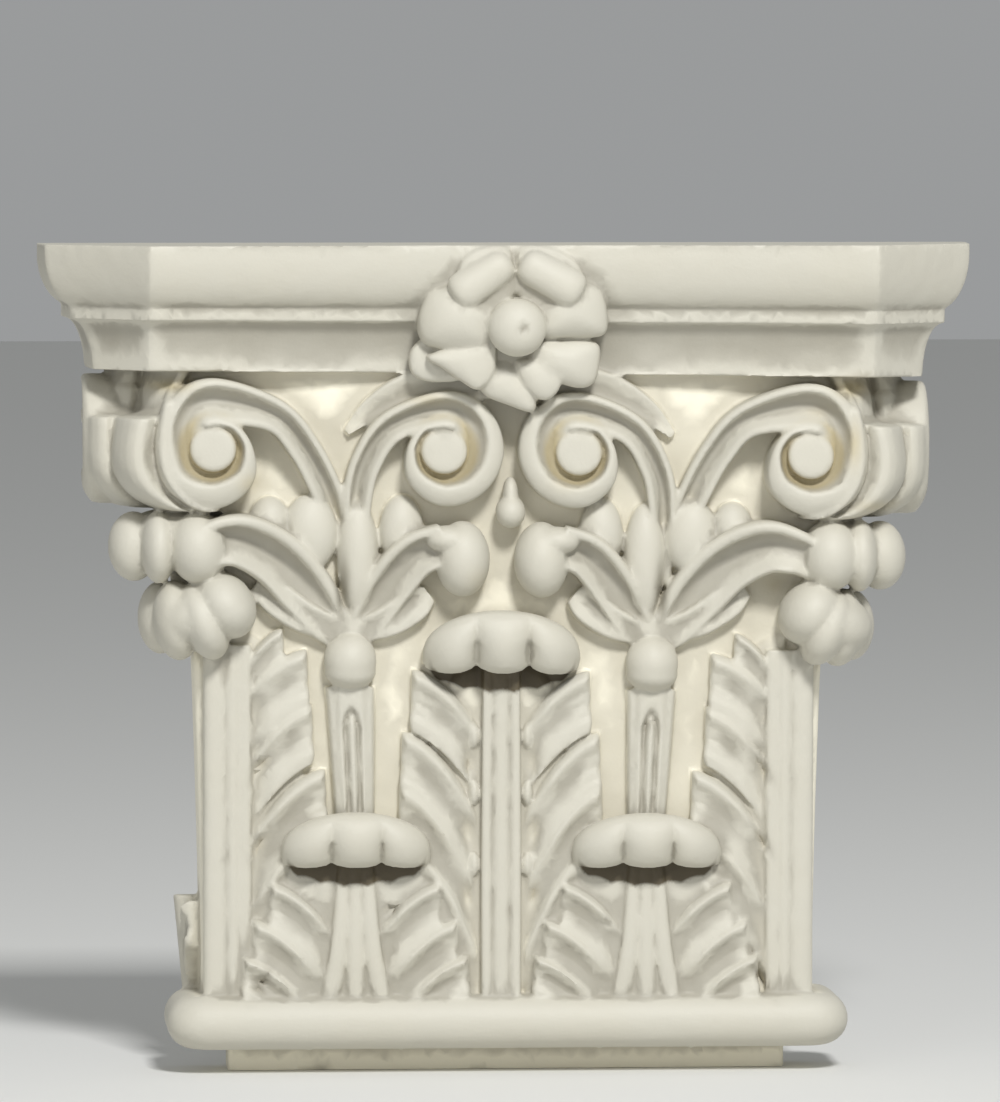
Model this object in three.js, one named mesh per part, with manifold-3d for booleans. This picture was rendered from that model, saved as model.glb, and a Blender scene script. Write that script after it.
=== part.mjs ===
// A Corinthian pilaster capital, cast in one piece and fixed flat to a wall over its shaft.
// Millimetres, +Z up. X runs across the front, the wall is the plane y = 0 and the front faces -Y.
// Heights are measured from the underside of the foot; the mesh is then set with its origin on the back face.
import * as THREE from 'three';
import { mergeVertices } from 'three/addons/utils/BufferGeometryUtils.js';
import Module from 'manifold-3d';

const wasm = await Module();
wasm.setup();

// Overall sizes
const capitalHeight = 200;
const capitalDepth = 47; // from the wall to the boss of the flower
const mountHeight = 100; // origin on the back face, above the foot

// Foot, astragal and bell
const shaftWidth = 148;
const shaftDepth = 20;
const shaftCornerRadius = 4;
const footHeight = 6;
const footSetback = 6.5;
const astragalHeight = 13;
const astragalProjection = 8.5;
const bellWidening = 5; // at each side, from the astragal to the abacus
const bellFlare = 5; // forward, below the abacus

// Abacus
const abacusWidth = 223;
const abacusDepth = 46; // at the arris between front and canted corner
const abacusHeight = 31;
const abacusHollow = 7; // how far the middle of the front curves back
const hornWidth = 24.6; // of the canted corner, seen from the front
const sideDraft = 1.6; // at each side, widening towards the wall
const ovoloHeight = 15.5;
const ovoloProjection = 8;
const filletHeight = 3;
const cavettoProjection = 5;

// Volutes
const voluteDrop = 18.6; // eye below the abacus
const cornerEyeInset = 39.8; // eye of a corner volute, in from the abacus side
const innerEyeOffset = 16.2; // eye of an inner volute, from the middle
const eyeRadius = 5.6;
const cornerVoluteSetback = 9; // behind the arris of the abacus
const innerVoluteRelief = 9.5; // proud of the bell
const spiralRecess = 4.5;
const bandHollow = 2.6;

// Leaves
const lowerLeafSpread = 35.1; // midrib of a lower leaf, from the middle
const lowerTipHeight = 63.5;
const upperTipHeight = 112.3;
const cornerTipHeight = 117;
const tipReach = 14; // of a curled tip, proud of the bell
const lowerTipWidth = 36;
const upperTipWidth = 38;
const lobeRelief = 3.6;
const leafShift = -2; // leaves and stalks stand a little left of the middle

// Stalk, knob and sheath that carry the volutes
const knobSpread = 36.4;
const knobHeight = 99;
const knobRadius = 6.7;
const stalkRelief = 5;

// Flower on the abacus
const flowerWidth = 46;
const flowerHeight = 39;
const flowerDrop = 19.6; // centre below the top of the abacus
const bossRadius = 7;

const wallOverlap = 3; // everything runs this far behind the wall before it is cut flat
const slant = 0.016; // the carving sinks a little towards the right
const rootDepth = 2.5; // ornament starts this far inside the surface that carries it

const astragalBottom = footHeight;
const astragalTop = astragalBottom + astragalHeight;
const abacusBottom = capitalHeight - abacusHeight;
const eyeHeight = abacusBottom - voluteDrop;
const hands = [-1, 1]; // left and right half

// The slant is greatest at the sheaths and fades out towards the foot and the top.
function settle(positions) {
  for (let i = 0; i < positions.count; i += 1) {
    const share = THREE.MathUtils.clamp(positions.getZ(i) / capitalHeight, 0, 1);
    const sink = slant * positions.getX(i) * Math.sin(Math.PI * share ** 1.6);
    positions.setZ(i, positions.getZ(i) - sink);
  }
}

// A closed solid of triangles with shared vertices and its faces outwards.
function solid(geometry) {
  geometry.deleteAttribute('normal');
  geometry.deleteAttribute('uv');
  settle(geometry.attributes.position);
  const merged = mergeVertices(geometry, 1e-4);
  const points = merged.attributes.position.array;
  const corners = [];
  for (let i = 0; i < merged.index.count; i += 3) {
    const [a, b, c] = [0, 1, 2].map((k) => merged.index.getX(i + k));
    if (a !== b && b !== c && c !== a) corners.push([a, b, c]);
  }
  const point = (i) => new THREE.Vector3().fromArray(points, 3 * i);
  const volume = corners.reduce((sum, [a, b, c]) => sum + point(a).dot(point(b).cross(point(c))), 0);
  const facing = volume < 0 ? corners.map(([a, b, c]) => [a, c, b]) : corners;
  const mesh = new wasm.Mesh({
    numProp: 3,
    vertProperties: new Float32Array(points),
    triVerts: new Uint32Array(facing.flat()),
  });
  return new wasm.Manifold(mesh);
}

// A closed solid through a row of rings. Each ring is a closed loop with the same number of points.
// The ends close as fans about the ring's centre, or about its point number fan.
function loft(rings, fan = -1) {
  const count = rings[0].length;
  const points = rings.flat();
  const last = points.length - count;
  const centre = (ring) => ring.reduce((sum, p) => sum.add(p), new THREE.Vector3()).divideScalar(count);
  const centres = [rings[0], rings[rings.length - 1]].map((ring) => (fan < 0 ? centre(ring) : ring[fan]));
  const first = points.length;
  const index = [];
  for (let j = 0; j < count; j += 1) {
    const next = (j + 1) % count;
    for (let i = 0; i < rings.length - 1; i += 1) {
      const low = i * count;
      const high = low + count;
      index.push(low + j, low + next, high + j, low + next, high + next, high + j);
    }
    index.push(first, next, j, first + 1, last + j, last + next);
  }
  const geometry = new THREE.BufferGeometry().setFromPoints([...points, ...centres]);
  geometry.setIndex(index);
  return solid(geometry);
}

function ellipsoid(centre, radii, columns = 8, rows = 5) {
  const geometry = new THREE.SphereGeometry(1, columns, rows);
  geometry.scale(radii.x, radii.y, radii.z);
  geometry.translate(centre.x, centre.y, centre.z);
  return solid(geometry);
}

function block(low, high) {
  const size = new THREE.Vector3().subVectors(high, low);
  const geometry = new THREE.BoxGeometry(size.x, size.y, size.z);
  const middle = new THREE.Vector3().addVectors(low, high).multiplyScalar(0.5);
  geometry.translate(middle.x, middle.y, middle.z);
  return solid(geometry);
}

// The bell widens and flares from the astragal up to the abacus.
const bellShare = (z) => THREE.MathUtils.clamp((z - astragalTop) / (abacusBottom - astragalTop), 0, 1);
const bellHalfWidth = (z) => shaftWidth / 2 + bellWidening * bellShare(z) ** 1.5;
const bellDepth = (z) => shaftDepth + bellFlare * bellShare(z) ** 2.5;

// Three ways to place ornament: on the front of the bell, on its side, or on a flat plane at a real depth.
const onFront = (hand, shift = leafShift) => (u, z, out) =>
  new THREE.Vector3(hand * u + shift, -(bellDepth(z) + out), z);
const onSide = (hand) => (u, z, out) => new THREE.Vector3(hand * (bellHalfWidth(z) + out), -u, z);
const frontPlane = (hand) => (u, z, depth) => new THREE.Vector3(hand * u, -depth, z);
const sidePlane = (hand) => (u, z, across) => new THREE.Vector3(hand * across, -u, z);

// Plan of the foot, astragal and bell at one height: square to the wall, with rounded front corners.
function shaftRing(halfWidth, depth, radius, z) {
  const arcSteps = 2;
  const ring = [];
  for (const hand of hands) {
    const arc = [new THREE.Vector3(hand * halfWidth, wallOverlap, z)];
    for (let i = 0; i <= arcSteps; i += 1) {
      const turn = (i / arcSteps) * (Math.PI / 2);
      const x = halfWidth - radius * (1 - Math.cos(turn));
      const y = depth - radius * (1 - Math.sin(turn));
      arc.push(new THREE.Vector3(hand * x, -y, z));
    }
    ring.push(...(hand < 0 ? arc : arc.reverse()));
  }
  return ring;
}

function shaftAndBell() {
  const footHalf = shaftWidth / 2 - footSetback;
  const footDepth = shaftDepth - footSetback;
  const rings = [0, footHeight].map((z) => shaftRing(footHalf, footDepth, 1, z));
  const beadSteps = 6;
  const beadFlat = 0.25; // share of the projection that stands square under the round
  for (let i = 0; i <= beadSteps; i += 1) {
    const turn = (i / beadSteps) * Math.PI;
    const out = astragalProjection * (beadFlat + (1 - beadFlat) * Math.sin(turn));
    const z = astragalBottom + (astragalHeight / 2) * (1 - Math.cos(turn)) + (i === 0 ? 0.05 : 0);
    rings.push(shaftRing(shaftWidth / 2 + out, shaftDepth + out, shaftCornerRadius + out * 0.6, z));
  }
  const levels = [0.001, 0.4, 0.7, 0.9, 1.05];
  for (const level of levels) {
    const z = astragalTop + 0.05 + level * (abacusBottom - astragalTop);
    rings.push(shaftRing(bellHalfWidth(z), bellDepth(z), shaftCornerRadius, z));
  }
  return loft(rings);
}

// Plan of the abacus at one height: side, canted corner and hollow front, set back by inset.
function abacusRing(inset, z) {
  const frontSteps = 6;
  const halfWidth = abacusWidth / 2 - inset;
  const arrisX = abacusWidth / 2 - hornWidth;
  const arrisDepth = abacusDepth - inset;
  const ring = [
    new THREE.Vector3(-halfWidth - sideDraft, wallOverlap, z),
    new THREE.Vector3(-halfWidth, -(abacusDepth - hornWidth), z),
  ];
  for (let i = 0; i <= frontSteps; i += 1) {
    const share = (2 * i) / frontSteps - 1;
    const depth = arrisDepth - abacusHollow * (1 - share * share);
    ring.push(new THREE.Vector3(share * arrisX, -depth, z));
  }
  ring.push(new THREE.Vector3(halfWidth, -(abacusDepth - hornWidth), z));
  ring.push(new THREE.Vector3(halfWidth + sideDraft, wallOverlap, z));
  return ring;
}

function abacus() {
  const rings = [];
  const curveSteps = 4;
  const rimHeight = 2;
  const filletInset = ovoloProjection - 1.6;
  const ovoloBottom = capitalHeight - ovoloHeight;
  const cavettoHeight = abacusHeight - ovoloHeight - filletHeight;
  for (let i = 0; i <= curveSteps; i += 1) {
    const turn = (i / curveSteps) * (Math.PI / 2);
    const z = abacusBottom + cavettoHeight * Math.sin(turn);
    rings.push(abacusRing(filletInset + cavettoProjection * Math.cos(turn), z));
  }
  rings.push(abacusRing(filletInset - 0.1, ovoloBottom - filletHeight + 0.05));
  rings.push(abacusRing(filletInset - 0.1, ovoloBottom));
  for (let i = 0; i <= curveSteps; i += 1) {
    const turn = (i / curveSteps) * (Math.PI / 2);
    const z = ovoloBottom + 0.05 + (ovoloHeight - rimHeight) * (1 - Math.cos(turn));
    rings.push(abacusRing(ovoloProjection * (1 - Math.sin(turn)), z));
  }
  rings.push(abacusRing(0, capitalHeight));
  return loft(rings);
}

// A carved band along a path. Each station is [u, z, width, crest]. Dish hollows the middle of the band,
// or crowns it if negative, and fall lowers its far edge.
function ribbon(place, stations, { steps = 8, dish = 0, fall = 0, root = -rootDepth } = {}) {
  const curve = (points) => new THREE.CatmullRomCurve3(points, false, 'catmullrom');
  const line = curve(stations.map(([u, z]) => new THREE.Vector3(u, 0, z)));
  const sizes = curve(stations.map(([, , width, crest]) => new THREE.Vector3(width, crest, 0)));
  const rings = [];
  for (let i = 0; i <= steps; i += 1) {
    const share = i / steps;
    const point = line.getPoint(share);
    const along = line.getTangent(share);
    const { x: width, y: crest } = sizes.getPoint(share);
    const edge = (side, level) =>
      place(point.x + side * (width / 2) * along.z, point.z - side * (width / 2) * along.x, level);
    const middle = dish ? [edge(0, crest - dish * Math.min(1, width / 6))] : [];
    rings.push([edge(-1, root), edge(-0.88, crest), ...middle, edge(0.88, crest - fall), edge(1, root)]);
  }
  return loft(rings, dish ? 2 : 1);
}

// One lobe of an acanthus leaf, from the midrib to its blunt end. Its upper edge is the higher one.
function leaflet(place, foot, tip, width, relief = lobeRelief) {
  const bow = 0.08;
  const side = Math.sign(tip[0] - foot[0]);
  const from = side * foot[0];
  const [du, dz] = [side * tip[0] - from, tip[1] - foot[1]];
  const at = (share, sag) => [from + du * share, foot[1] + dz * (share - sag)];
  return ribbon((u, z, out) => place(side * u, z, out), [
    [...at(0, 0), width * 0.65, relief * 0.8], [...at(0.55, bow), width, relief],
    [...at(1, 0), width * 0.62, relief * 0.75],
  ], { steps: 2, fall: relief * 0.35 });
}

// The curled tip of a leaf: a hooked section carried across the leaf, domed above, its lip parted into lobes.
function curledTip(place, centre, width, top, lobes, { rise = 14, reach = tipReach } = {}) {
  const hook = [
    [-0.2, 0.5], [0.36, 0.96], [0.78, 0.94], [1, 0.5], [0.94, 0.02], [0.55, 0.3], [-0.2, 0.05],
  ];
  const stations = 4 * lobes;
  const rings = [];
  for (let i = 0; i <= stations; i += 1) {
    const share = THREE.MathUtils.clamp((2 * i) / stations - 1, -0.99, 0.99);
    const crown = Math.sqrt(1 - share * share);
    const swell = Math.abs(Math.cos((lobes * Math.PI * share) / 2)) ** 0.6;
    const forward = reach * (0.3 + 0.7 * crown) * (0.84 + 0.16 * swell);
    const drop = rise * 0.85 * (1 - crown);
    const height = rise * (0.15 + 0.85 * crown);
    const lip = 1.4 * (1 - swell);
    rings.push(hook.map(([out, up]) => {
      const lift = up < 0.2 && out > 0.6 ? lip : 0;
      const level = out < 0 ? -rootDepth : forward * out;
      return place(centre + (share * width) / 2, top - drop - height * (1 - up) + lift, level);
    }));
  }
  return loft(rings);
}

// Radius and width of a volute's band after each quarter turn from its top.
const cornerCoil = [[17.6, 9.4], [14.4, 7], [13.4, 5.4], [9, 3.4], [7, 2]];
const innerCoil = [[14.4, 7.6], [14.4, 6.8], [13.2, 5.2], [8.4, 3], [6.8, 2]];

// A volute: a band rising from the stem, wound round an eye that stands on a sunk disc.
function volute(place, eye, stem, coilQuarters, options) {
  const { crest, stemCrest, root, inward = false, steps = 20, dish = bandHollow } = options;
  const turnSign = inward ? -1 : 1;
  const halfway = (i) => (Number.isInteger(i)
    ? coilQuarters[i]
    : [0, 1].map((k) => (coilQuarters[i - 0.5][k] + coilQuarters[i + 0.5][k]) / 2));
  const coil = Array.from({ length: 2 * coilQuarters.length - 1 }, (_, i) => {
    const turn = Math.PI / 2 - (i * Math.PI) / 4;
    const [radius, width] = halfway(i / 2);
    const middle = radius - width / 2;
    return [eye[0] + turnSign * middle * Math.cos(turn), eye[1] + middle * Math.sin(turn), width, crest];
  });
  const rise = stem.map(([u, z, width], i) => {
    const share = (i / stem.length) ** 1.3;
    return [u, z, width, stemCrest + (crest - stemCrest) * share];
  });
  const band = ribbon(place, [...rise, ...coil], { steps, dish, root });
  const sides = 8;
  const floorRadius = eyeRadius + 2.4;
  const disc = (radius, depth) => Array.from({ length: sides }, (_, i) => {
    const turn = (i / sides) * 2 * Math.PI;
    return place(eye[0] + radius * Math.cos(turn), eye[1] + radius * Math.sin(turn), depth);
  });
  const boss = loft([disc(eyeRadius, root), disc(eyeRadius, crest - 1.6), disc(eyeRadius * 0.75, crest - 0.8)]);
  const floor = loft([disc(floorRadius, root), disc(floorRadius, crest - spiralRecess)]);
  return [band, boss, floor];
}

// Inner pair, curling in below the flower.
function innerVolute(hand) {
  const crest = bellDepth(eyeHeight) + innerVoluteRelief;
  const stem = [
    [knobSpread + 0.6, eyeHeight - 23, 7], [knobSpread + 0.8, eyeHeight - 13, 7.4],
    [knobSpread - 1.6, eyeHeight - 3.4, 7.4], [innerEyeOffset + 12.4, eyeHeight + 5.6, 7.6],
  ];
  return volute(frontPlane(hand), [innerEyeOffset, eyeHeight], stem, innerCoil, {
    crest, stemCrest: bellDepth(eyeHeight) + 3, root: shaftDepth - rootDepth, inward: true,
  });
}

const cornerEye = abacusWidth / 2 - cornerEyeInset;
const cornerFront = abacusDepth - cornerVoluteSetback; // depth of the front spiral
const cornerSide = abacusWidth / 2 - cornerVoluteSetback; // distance out of the side spiral
const sideEye = cornerFront + cornerEye - cornerSide; // depth of the side spiral's eye

// Corner pair: one spiral faces the front and one the side, joined by a bulging band under the horn.
function cornerVolute(hand) {
  const stem = [
    [knobSpread + 5, eyeHeight - 22, 7], [knobSpread + 7.4, eyeHeight - 11, 7.6],
    [knobSpread + 13.2, eyeHeight + 0.2, 8], [cornerEye - 14.6, eyeHeight + 8.2, 8.6],
  ];
  const front = volute(frontPlane(hand), [cornerEye, eyeHeight], stem, cornerCoil, {
    crest: cornerFront, stemCrest: bellDepth(eyeHeight) + 3, root: shaftDepth - rootDepth,
  });
  const sideStem = [
    [-wallOverlap - 12, eyeHeight - 2, 8], [-wallOverlap - 8, eyeHeight + 5, 8],
    [-wallOverlap - 2, eyeHeight + 11, 8],
  ];
  const side = volute(sidePlane(hand), [sideEye, eyeHeight], sideStem, cornerCoil, {
    crest: cornerSide, stemCrest: cornerSide, root: shaftWidth / 2 - rootDepth, steps: 13, dish: 0,
  });
  return [...front, ...side, cornerBand(hand)];
}

function cornerBand(hand) {
  const reach = 14.4;
  const above = voluteDrop + 1.5;
  const below = 14;
  const levels = [-0.98, -0.85, -0.5, 0, 0.5, 1];
  const bulge = 4.6;
  const rings = levels.map((level) => {
    const z = eyeHeight + level * (level < 0 ? below : above);
    const chord = reach * (level < 0 ? Math.sqrt(1 - level * level) : 1 - 0.3 * level * level);
    const tuck = level < 0 ? 2.5 * level * level : 0;
    const rimX = cornerEye + chord;
    const rimY = sideEye + chord;
    const frontY = cornerFront - tuck;
    const sideX = cornerSide - tuck;
    const plan = [
      [cornerEye - 3, -wallOverlap], [cornerEye - 3, shaftDepth - 2], [rimX - 5, cornerFront - 7],
      [rimX - 1.5, frontY], [rimX + 1.2, frontY - 1.6],
      [(rimX * 2 + sideX) / 3 + bulge * 0.62, (frontY * 2 + rimY) / 3 + bulge * 0.62],
      [(rimX + sideX * 2) / 3 + bulge * 0.62, (frontY + rimY * 2) / 3 + bulge * 0.62],
      [sideX - 1.6, rimY + 1.2], [sideX, rimY - 1.5], [cornerSide - 7, rimY - 5],
      [cornerSide - 9, -wallOverlap],
    ];
    return plan.map(([x, y]) => new THREE.Vector3(hand * x, -y, z));
  });
  return loft(rings);
}

// The sheath above each knob: two arching leaves, three upright ones behind and small lobes below them.
function sheath(hand) {
  const place = onFront(hand);
  const base = knobHeight + knobRadius;
  const s = knobSpread;
  const cornerLeaf = ribbon(place, [
    [s + 2, base, 9, 5], [s + 7, base + 5, 12, 5], [s + 11.6, base + 12.5, 13.5, 6],
    [s + 18, base + 19.5, 13.5, 8], [s + 26.5, base + 23, 12.5, 11.5], [s + 35.5, base + 21, 12, 14],
  ], { steps: 6, dish: 2.4 });
  const innerLeaf = ribbon(place, [
    [s - 1.5, base, 8, 5], [s - 5.7, base + 9, 11, 5], [s - 11, base + 17, 11, 7],
    [s - 17.5, base + 22.5, 10, 9.5], [s - 24, base + 22.5, 9.5, 11],
  ], { steps: 5, dish: 2.4 });
  const upright = [[11, 33, 12], [-1, 32, 9], [-12, 33, 10]].map(([side, height, width]) => ribbon(place, [
    [s + side * 0.2, base + 4, width * 0.7, 4], [s + side * 0.8, base + height * 0.65, width, 3.2],
    [s + side, base + height, width * 0.5, 1.6],
  ], { steps: 2 }));
  const small = [
    leaflet(place, [s + 6, base + 2], [s + 22.5, base + 11.5], 7),
    leaflet(place, [s - 5, base + 2], [s - 18.5, base + 9.5], 6.5),
  ];
  const bulb = ellipsoid(place(s - 27.6, base + 17.8, 5.5), new THREE.Vector3(6.8, 6.5, 8));
  const sideCurl = ribbon(onSide(hand), [
    [-wallOverlap - 6, base + 12, 9, 8], [3, base + 21, 11, 11], [15, base + 21, 11, 13],
  ], { steps: 3, dish: 2 });
  return [cornerLeaf, innerLeaf, ...upright, ...small, bulb, sideCurl];
}

// A leaf tip turned over round a corner of the bell: a cushion parted into lobes.
function cornerCurl(hand, middleZ, { halfHeight, reach, lobes = 3 }) {
  const samples = 3 * lobes;
  const axisX = bellHalfWidth(middleZ) - 4;
  const axisY = bellDepth(middleZ) - 4;
  const rings = [-0.95, -0.42, 0.42, 0.95].map((level) => {
    const swell = Math.sqrt(1 - level * level);
    const z = middleZ + level * halfHeight;
    const ring = [new THREE.Vector3(hand * (axisX - 10), -axisY, z)];
    for (let i = 0; i <= samples; i += 1) {
      const turn = (i / samples) * (Math.PI / 2 + 0.8) - 0.4;
      const lobe = Math.abs(Math.sin((i / samples) * lobes * Math.PI));
      const out = reach * (0.52 + (0.3 + 0.18 * lobe) * swell);
      ring.push(new THREE.Vector3(hand * (axisX + out * Math.sin(turn)), -(axisY + out * Math.cos(turn)), z));
    }
    ring.push(new THREE.Vector3(hand * axisX, -(axisY - 10), z));
    return ring;
  });
  return loft(rings);
}

// Fluted stalk and the knob on it.
function stalkAndKnob(hand) {
  const foot = lowerTipHeight - 8;
  const top = knobHeight - knobRadius + 0.5;
  const place = onFront(hand);
  const flutes = 7;
  const rings = [0, 0.5, 1].map((share) => {
    const half = THREE.MathUtils.lerp(4, 6.4, share);
    const middle = THREE.MathUtils.lerp(knobSpread - 1.8, knobSpread, share);
    const z = THREE.MathUtils.lerp(foot, top, share);
    const front = Array.from({ length: flutes }, (_, i) => {
      const turn = (i / (flutes - 1)) * Math.PI;
      const groove = i % 2 ? 0.84 : 1;
      return place(middle - half * Math.cos(turn), z, stalkRelief * Math.sin(turn) * groove);
    });
    return [place(middle - half, z, -rootDepth), ...front, place(middle + half, z, -rootDepth)];
  });
  const knobSize = new THREE.Vector3(knobRadius, knobRadius, knobRadius);
  const knob = ellipsoid(place(knobSpread, knobHeight, 3.4), knobSize);
  return [loft(rings), knob];
}

// Leaves on the front: one in the middle, two lower ones and one round each corner.
function middleLeaf() {
  const rib = ribbon(onFront(1), [
    [0, astragalTop - 2, 6.4, 3.4], [0, astragalTop + 30, 5.8, 4], [0, upperTipHeight - 10, 5.4, 5],
  ], { steps: 2, dish: 1 });
  const rows = [
    [[5, 72], [22.4, 96.5], 11], [[4.5, 55], [25.3, 81.3], 11.5],
    [[4.5, 40], [25.5, 66.5], 11.5], [[4, 26], [16.5, 48], 10],
  ];
  return [
    rib,
    curledTip(onFront(1), 0, upperTipWidth, upperTipHeight, 3),
    ...hands.flatMap((hand) => rows.map(([foot, tip, width]) => leaflet(onFront(hand), foot, tip, width))),
  ];
}

function lowerLeaf(hand) {
  const s = lowerLeafSpread;
  const place = onFront(hand);
  const rib = ribbon(place, [
    [s, astragalTop - 2, 9, 3.4], [s, astragalTop + 14, 5.5, 4.4], [s, lowerTipHeight - 14, 3.4, 5.2],
  ], { steps: 2, dish: -1.2 });
  const rows = [
    [[4, 9], [22.5, 26.5], 10], [[4, 3], [25, 16], 9], [[11, 0.5], [28, 8], 7],
  ];
  return [
    rib,
    curledTip(place, s, lowerTipWidth, lowerTipHeight, 3),
    ...hands.flatMap((side) => rows.map(([foot, tip, width]) => {
      const at = ([u, z]) => [s + side * u, astragalTop + z];
      return leaflet(place, at(foot), at(tip), width);
    })),
  ];
}

function cornerLeaf(hand) {
  const edge = shaftWidth / 2;
  const rib = [0, 1].map((strip) => {
    const z0 = astragalTop - 2;
    const z1 = cornerTipHeight - 12;
    const inset = 2.4 + strip * 5;
    const ribWidth = 4.4 - strip;
    return ribbon(onFront(hand, 0), [[edge - inset, z0, ribWidth, 2.2], [edge - inset, z1, ribWidth, 3.4]],
      { steps: 2 });
  });
  const frontRows = [
    [[-12, 98], [-19.5, 107], 7], [[-11, 84], [-26, 102], 11], [[-11.5, 67], [-29, 87.5], 11.5],
    [[-12, 52], [-32, 73], 11.5], [[-11, 38], [-25, 57], 10.5],
  ];
  const sideRows = [
    [[16, 76], [5, 97], 12], [[16, 46], [4, 68], 12],
  ];
  return [
    ...rib,
    ...frontRows.map(([foot, tip, width]) =>
      leaflet(onFront(hand), [edge + foot[0], foot[1]], [edge + tip[0], tip[1]], width)),
    ...sideRows.map(([foot, tip, width]) => leaflet(onSide(hand), foot, tip, width)),
    cornerCurl(hand, cornerTipHeight - 9, { halfHeight: 9.6, reach: 18.5 }),
  ];
}

// Half of a lower leaf on each side, its midrib at the wall.
function sideLeaf(hand) {
  const place = onSide(hand);
  return [
    ribbon(place, [[0, astragalTop - 2, 8, 4], [0, lowerTipHeight - 16, 9, 6]], { steps: 1 }),
    leaflet(place, [2, astragalTop + 8], [13, astragalTop + 25], 9),
  ];
}

// A drop between the inner volutes and a broad stem behind each of them up to the flower.
function dropAndStems() {
  const drop = ellipsoid(onFront(1, 0)(0, eyeHeight - 13, 5), new THREE.Vector3(3.5, 5, 5.6));
  const stems = hands.map((hand) => ribbon(onFront(hand, 0), [
    [knobSpread + 1, eyeHeight + 3, 3, 2], [knobSpread - 7, eyeHeight + 11.5, 9, 4.5],
    [17, eyeHeight + 16, 9, 6], [4, eyeHeight + 16.5, 8, 7],
  ], { steps: 4 }));
  return [drop, ...stems];
}

// The flower: petals about a boss, wider than high.
function flower() {
  const centreZ = capitalHeight - flowerDrop;
  const back = abacusDepth - abacusHollow - ovoloProjection;
  const front = capitalDepth - 3.2;
  // Direction in degrees, length and lift of each petal
  const petals = [
    [4, 1, 0], [57, 1, 1.4], [122, 1, 1], [184, 1, 0.6], [229, 1, -1.2], [272, 0.9, -2.4], [318, 1, 0],
  ];
  const made = petals.map(([degrees, length, lift]) => {
    const turn = THREE.MathUtils.degToRad(degrees);
    const reach = length * Math.hypot((flowerWidth / 2) * Math.cos(turn), (flowerHeight / 2) * Math.sin(turn));
    const place = (u, w, depth) => new THREE.Vector3(
      u * Math.cos(turn) - w * Math.sin(turn), -depth, centreZ + u * Math.sin(turn) + w * Math.cos(turn));
    return ribbon(place, [
      [3, 0, 8, front - 5 + lift], [reach * 0.5, 0, 14, front - 4 + lift],
      [reach * 0.85, 0, 15, front - 1.5 + lift], [reach, 0, 8, front - 4 + lift],
    ], { steps: 3, dish: -2.4, root: back });
  });
  const bossAt = new THREE.Vector3(0, -(capitalDepth - bossRadius * 0.8), centreZ);
  const boss = ellipsoid(bossAt, new THREE.Vector3(bossRadius, bossRadius * 0.8, bossRadius), 10, 6);
  return [...made, boss];
}

const ornament = [
  ...middleLeaf(),
  ...dropAndStems(),
  ...flower(),
  ...hands.flatMap((hand) => [
    ...lowerLeaf(hand), ...cornerLeaf(hand), ...sideLeaf(hand), ...stalkAndKnob(hand), ...sheath(hand),
    cornerCurl(hand, knobHeight + knobRadius + 20.3, { halfHeight: 8.6, reach: 22 }),
    ...innerVolute(hand), ...cornerVolute(hand),
  ]),
];

const far = 400;
const behindWall = block(new THREE.Vector3(-far, 0, -far), new THREE.Vector3(far, far, far));
const overTop = block(new THREE.Vector3(-far, -far, capitalHeight), new THREE.Vector3(far, far, far));
const capital = [abacus(), ...ornament]
  .reduce((whole, piece) => whole.add(piece), shaftAndBell())
  .subtract(behindWall)
  .subtract(overTop);

function toMesh(manifold, name, material) {
  const { vertProperties, triVerts, numProp } = manifold.getMesh();
  const geometry = new THREE.BufferGeometry();
  const points = [];
  for (let i = 0; i < vertProperties.length; i += numProp) points.push(...vertProperties.slice(i, i + 3));
  geometry.setAttribute('position', new THREE.Float32BufferAttribute(points, 3));
  geometry.setIndex([...triVerts]);
  geometry.computeVertexNormals();
  const mesh = new THREE.Mesh(geometry, material);
  mesh.name = name;
  return mesh;
}

const castPlaster = new THREE.MeshStandardMaterial({ color: 0xdad7cc, roughness: 0.62, metalness: 0 });

const model = new THREE.Group();
const casting = toMesh(capital, 'pilaster_capital', castPlaster);
casting.position.set(0, 0, -mountHeight);
model.add(casting);

export default model;
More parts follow.
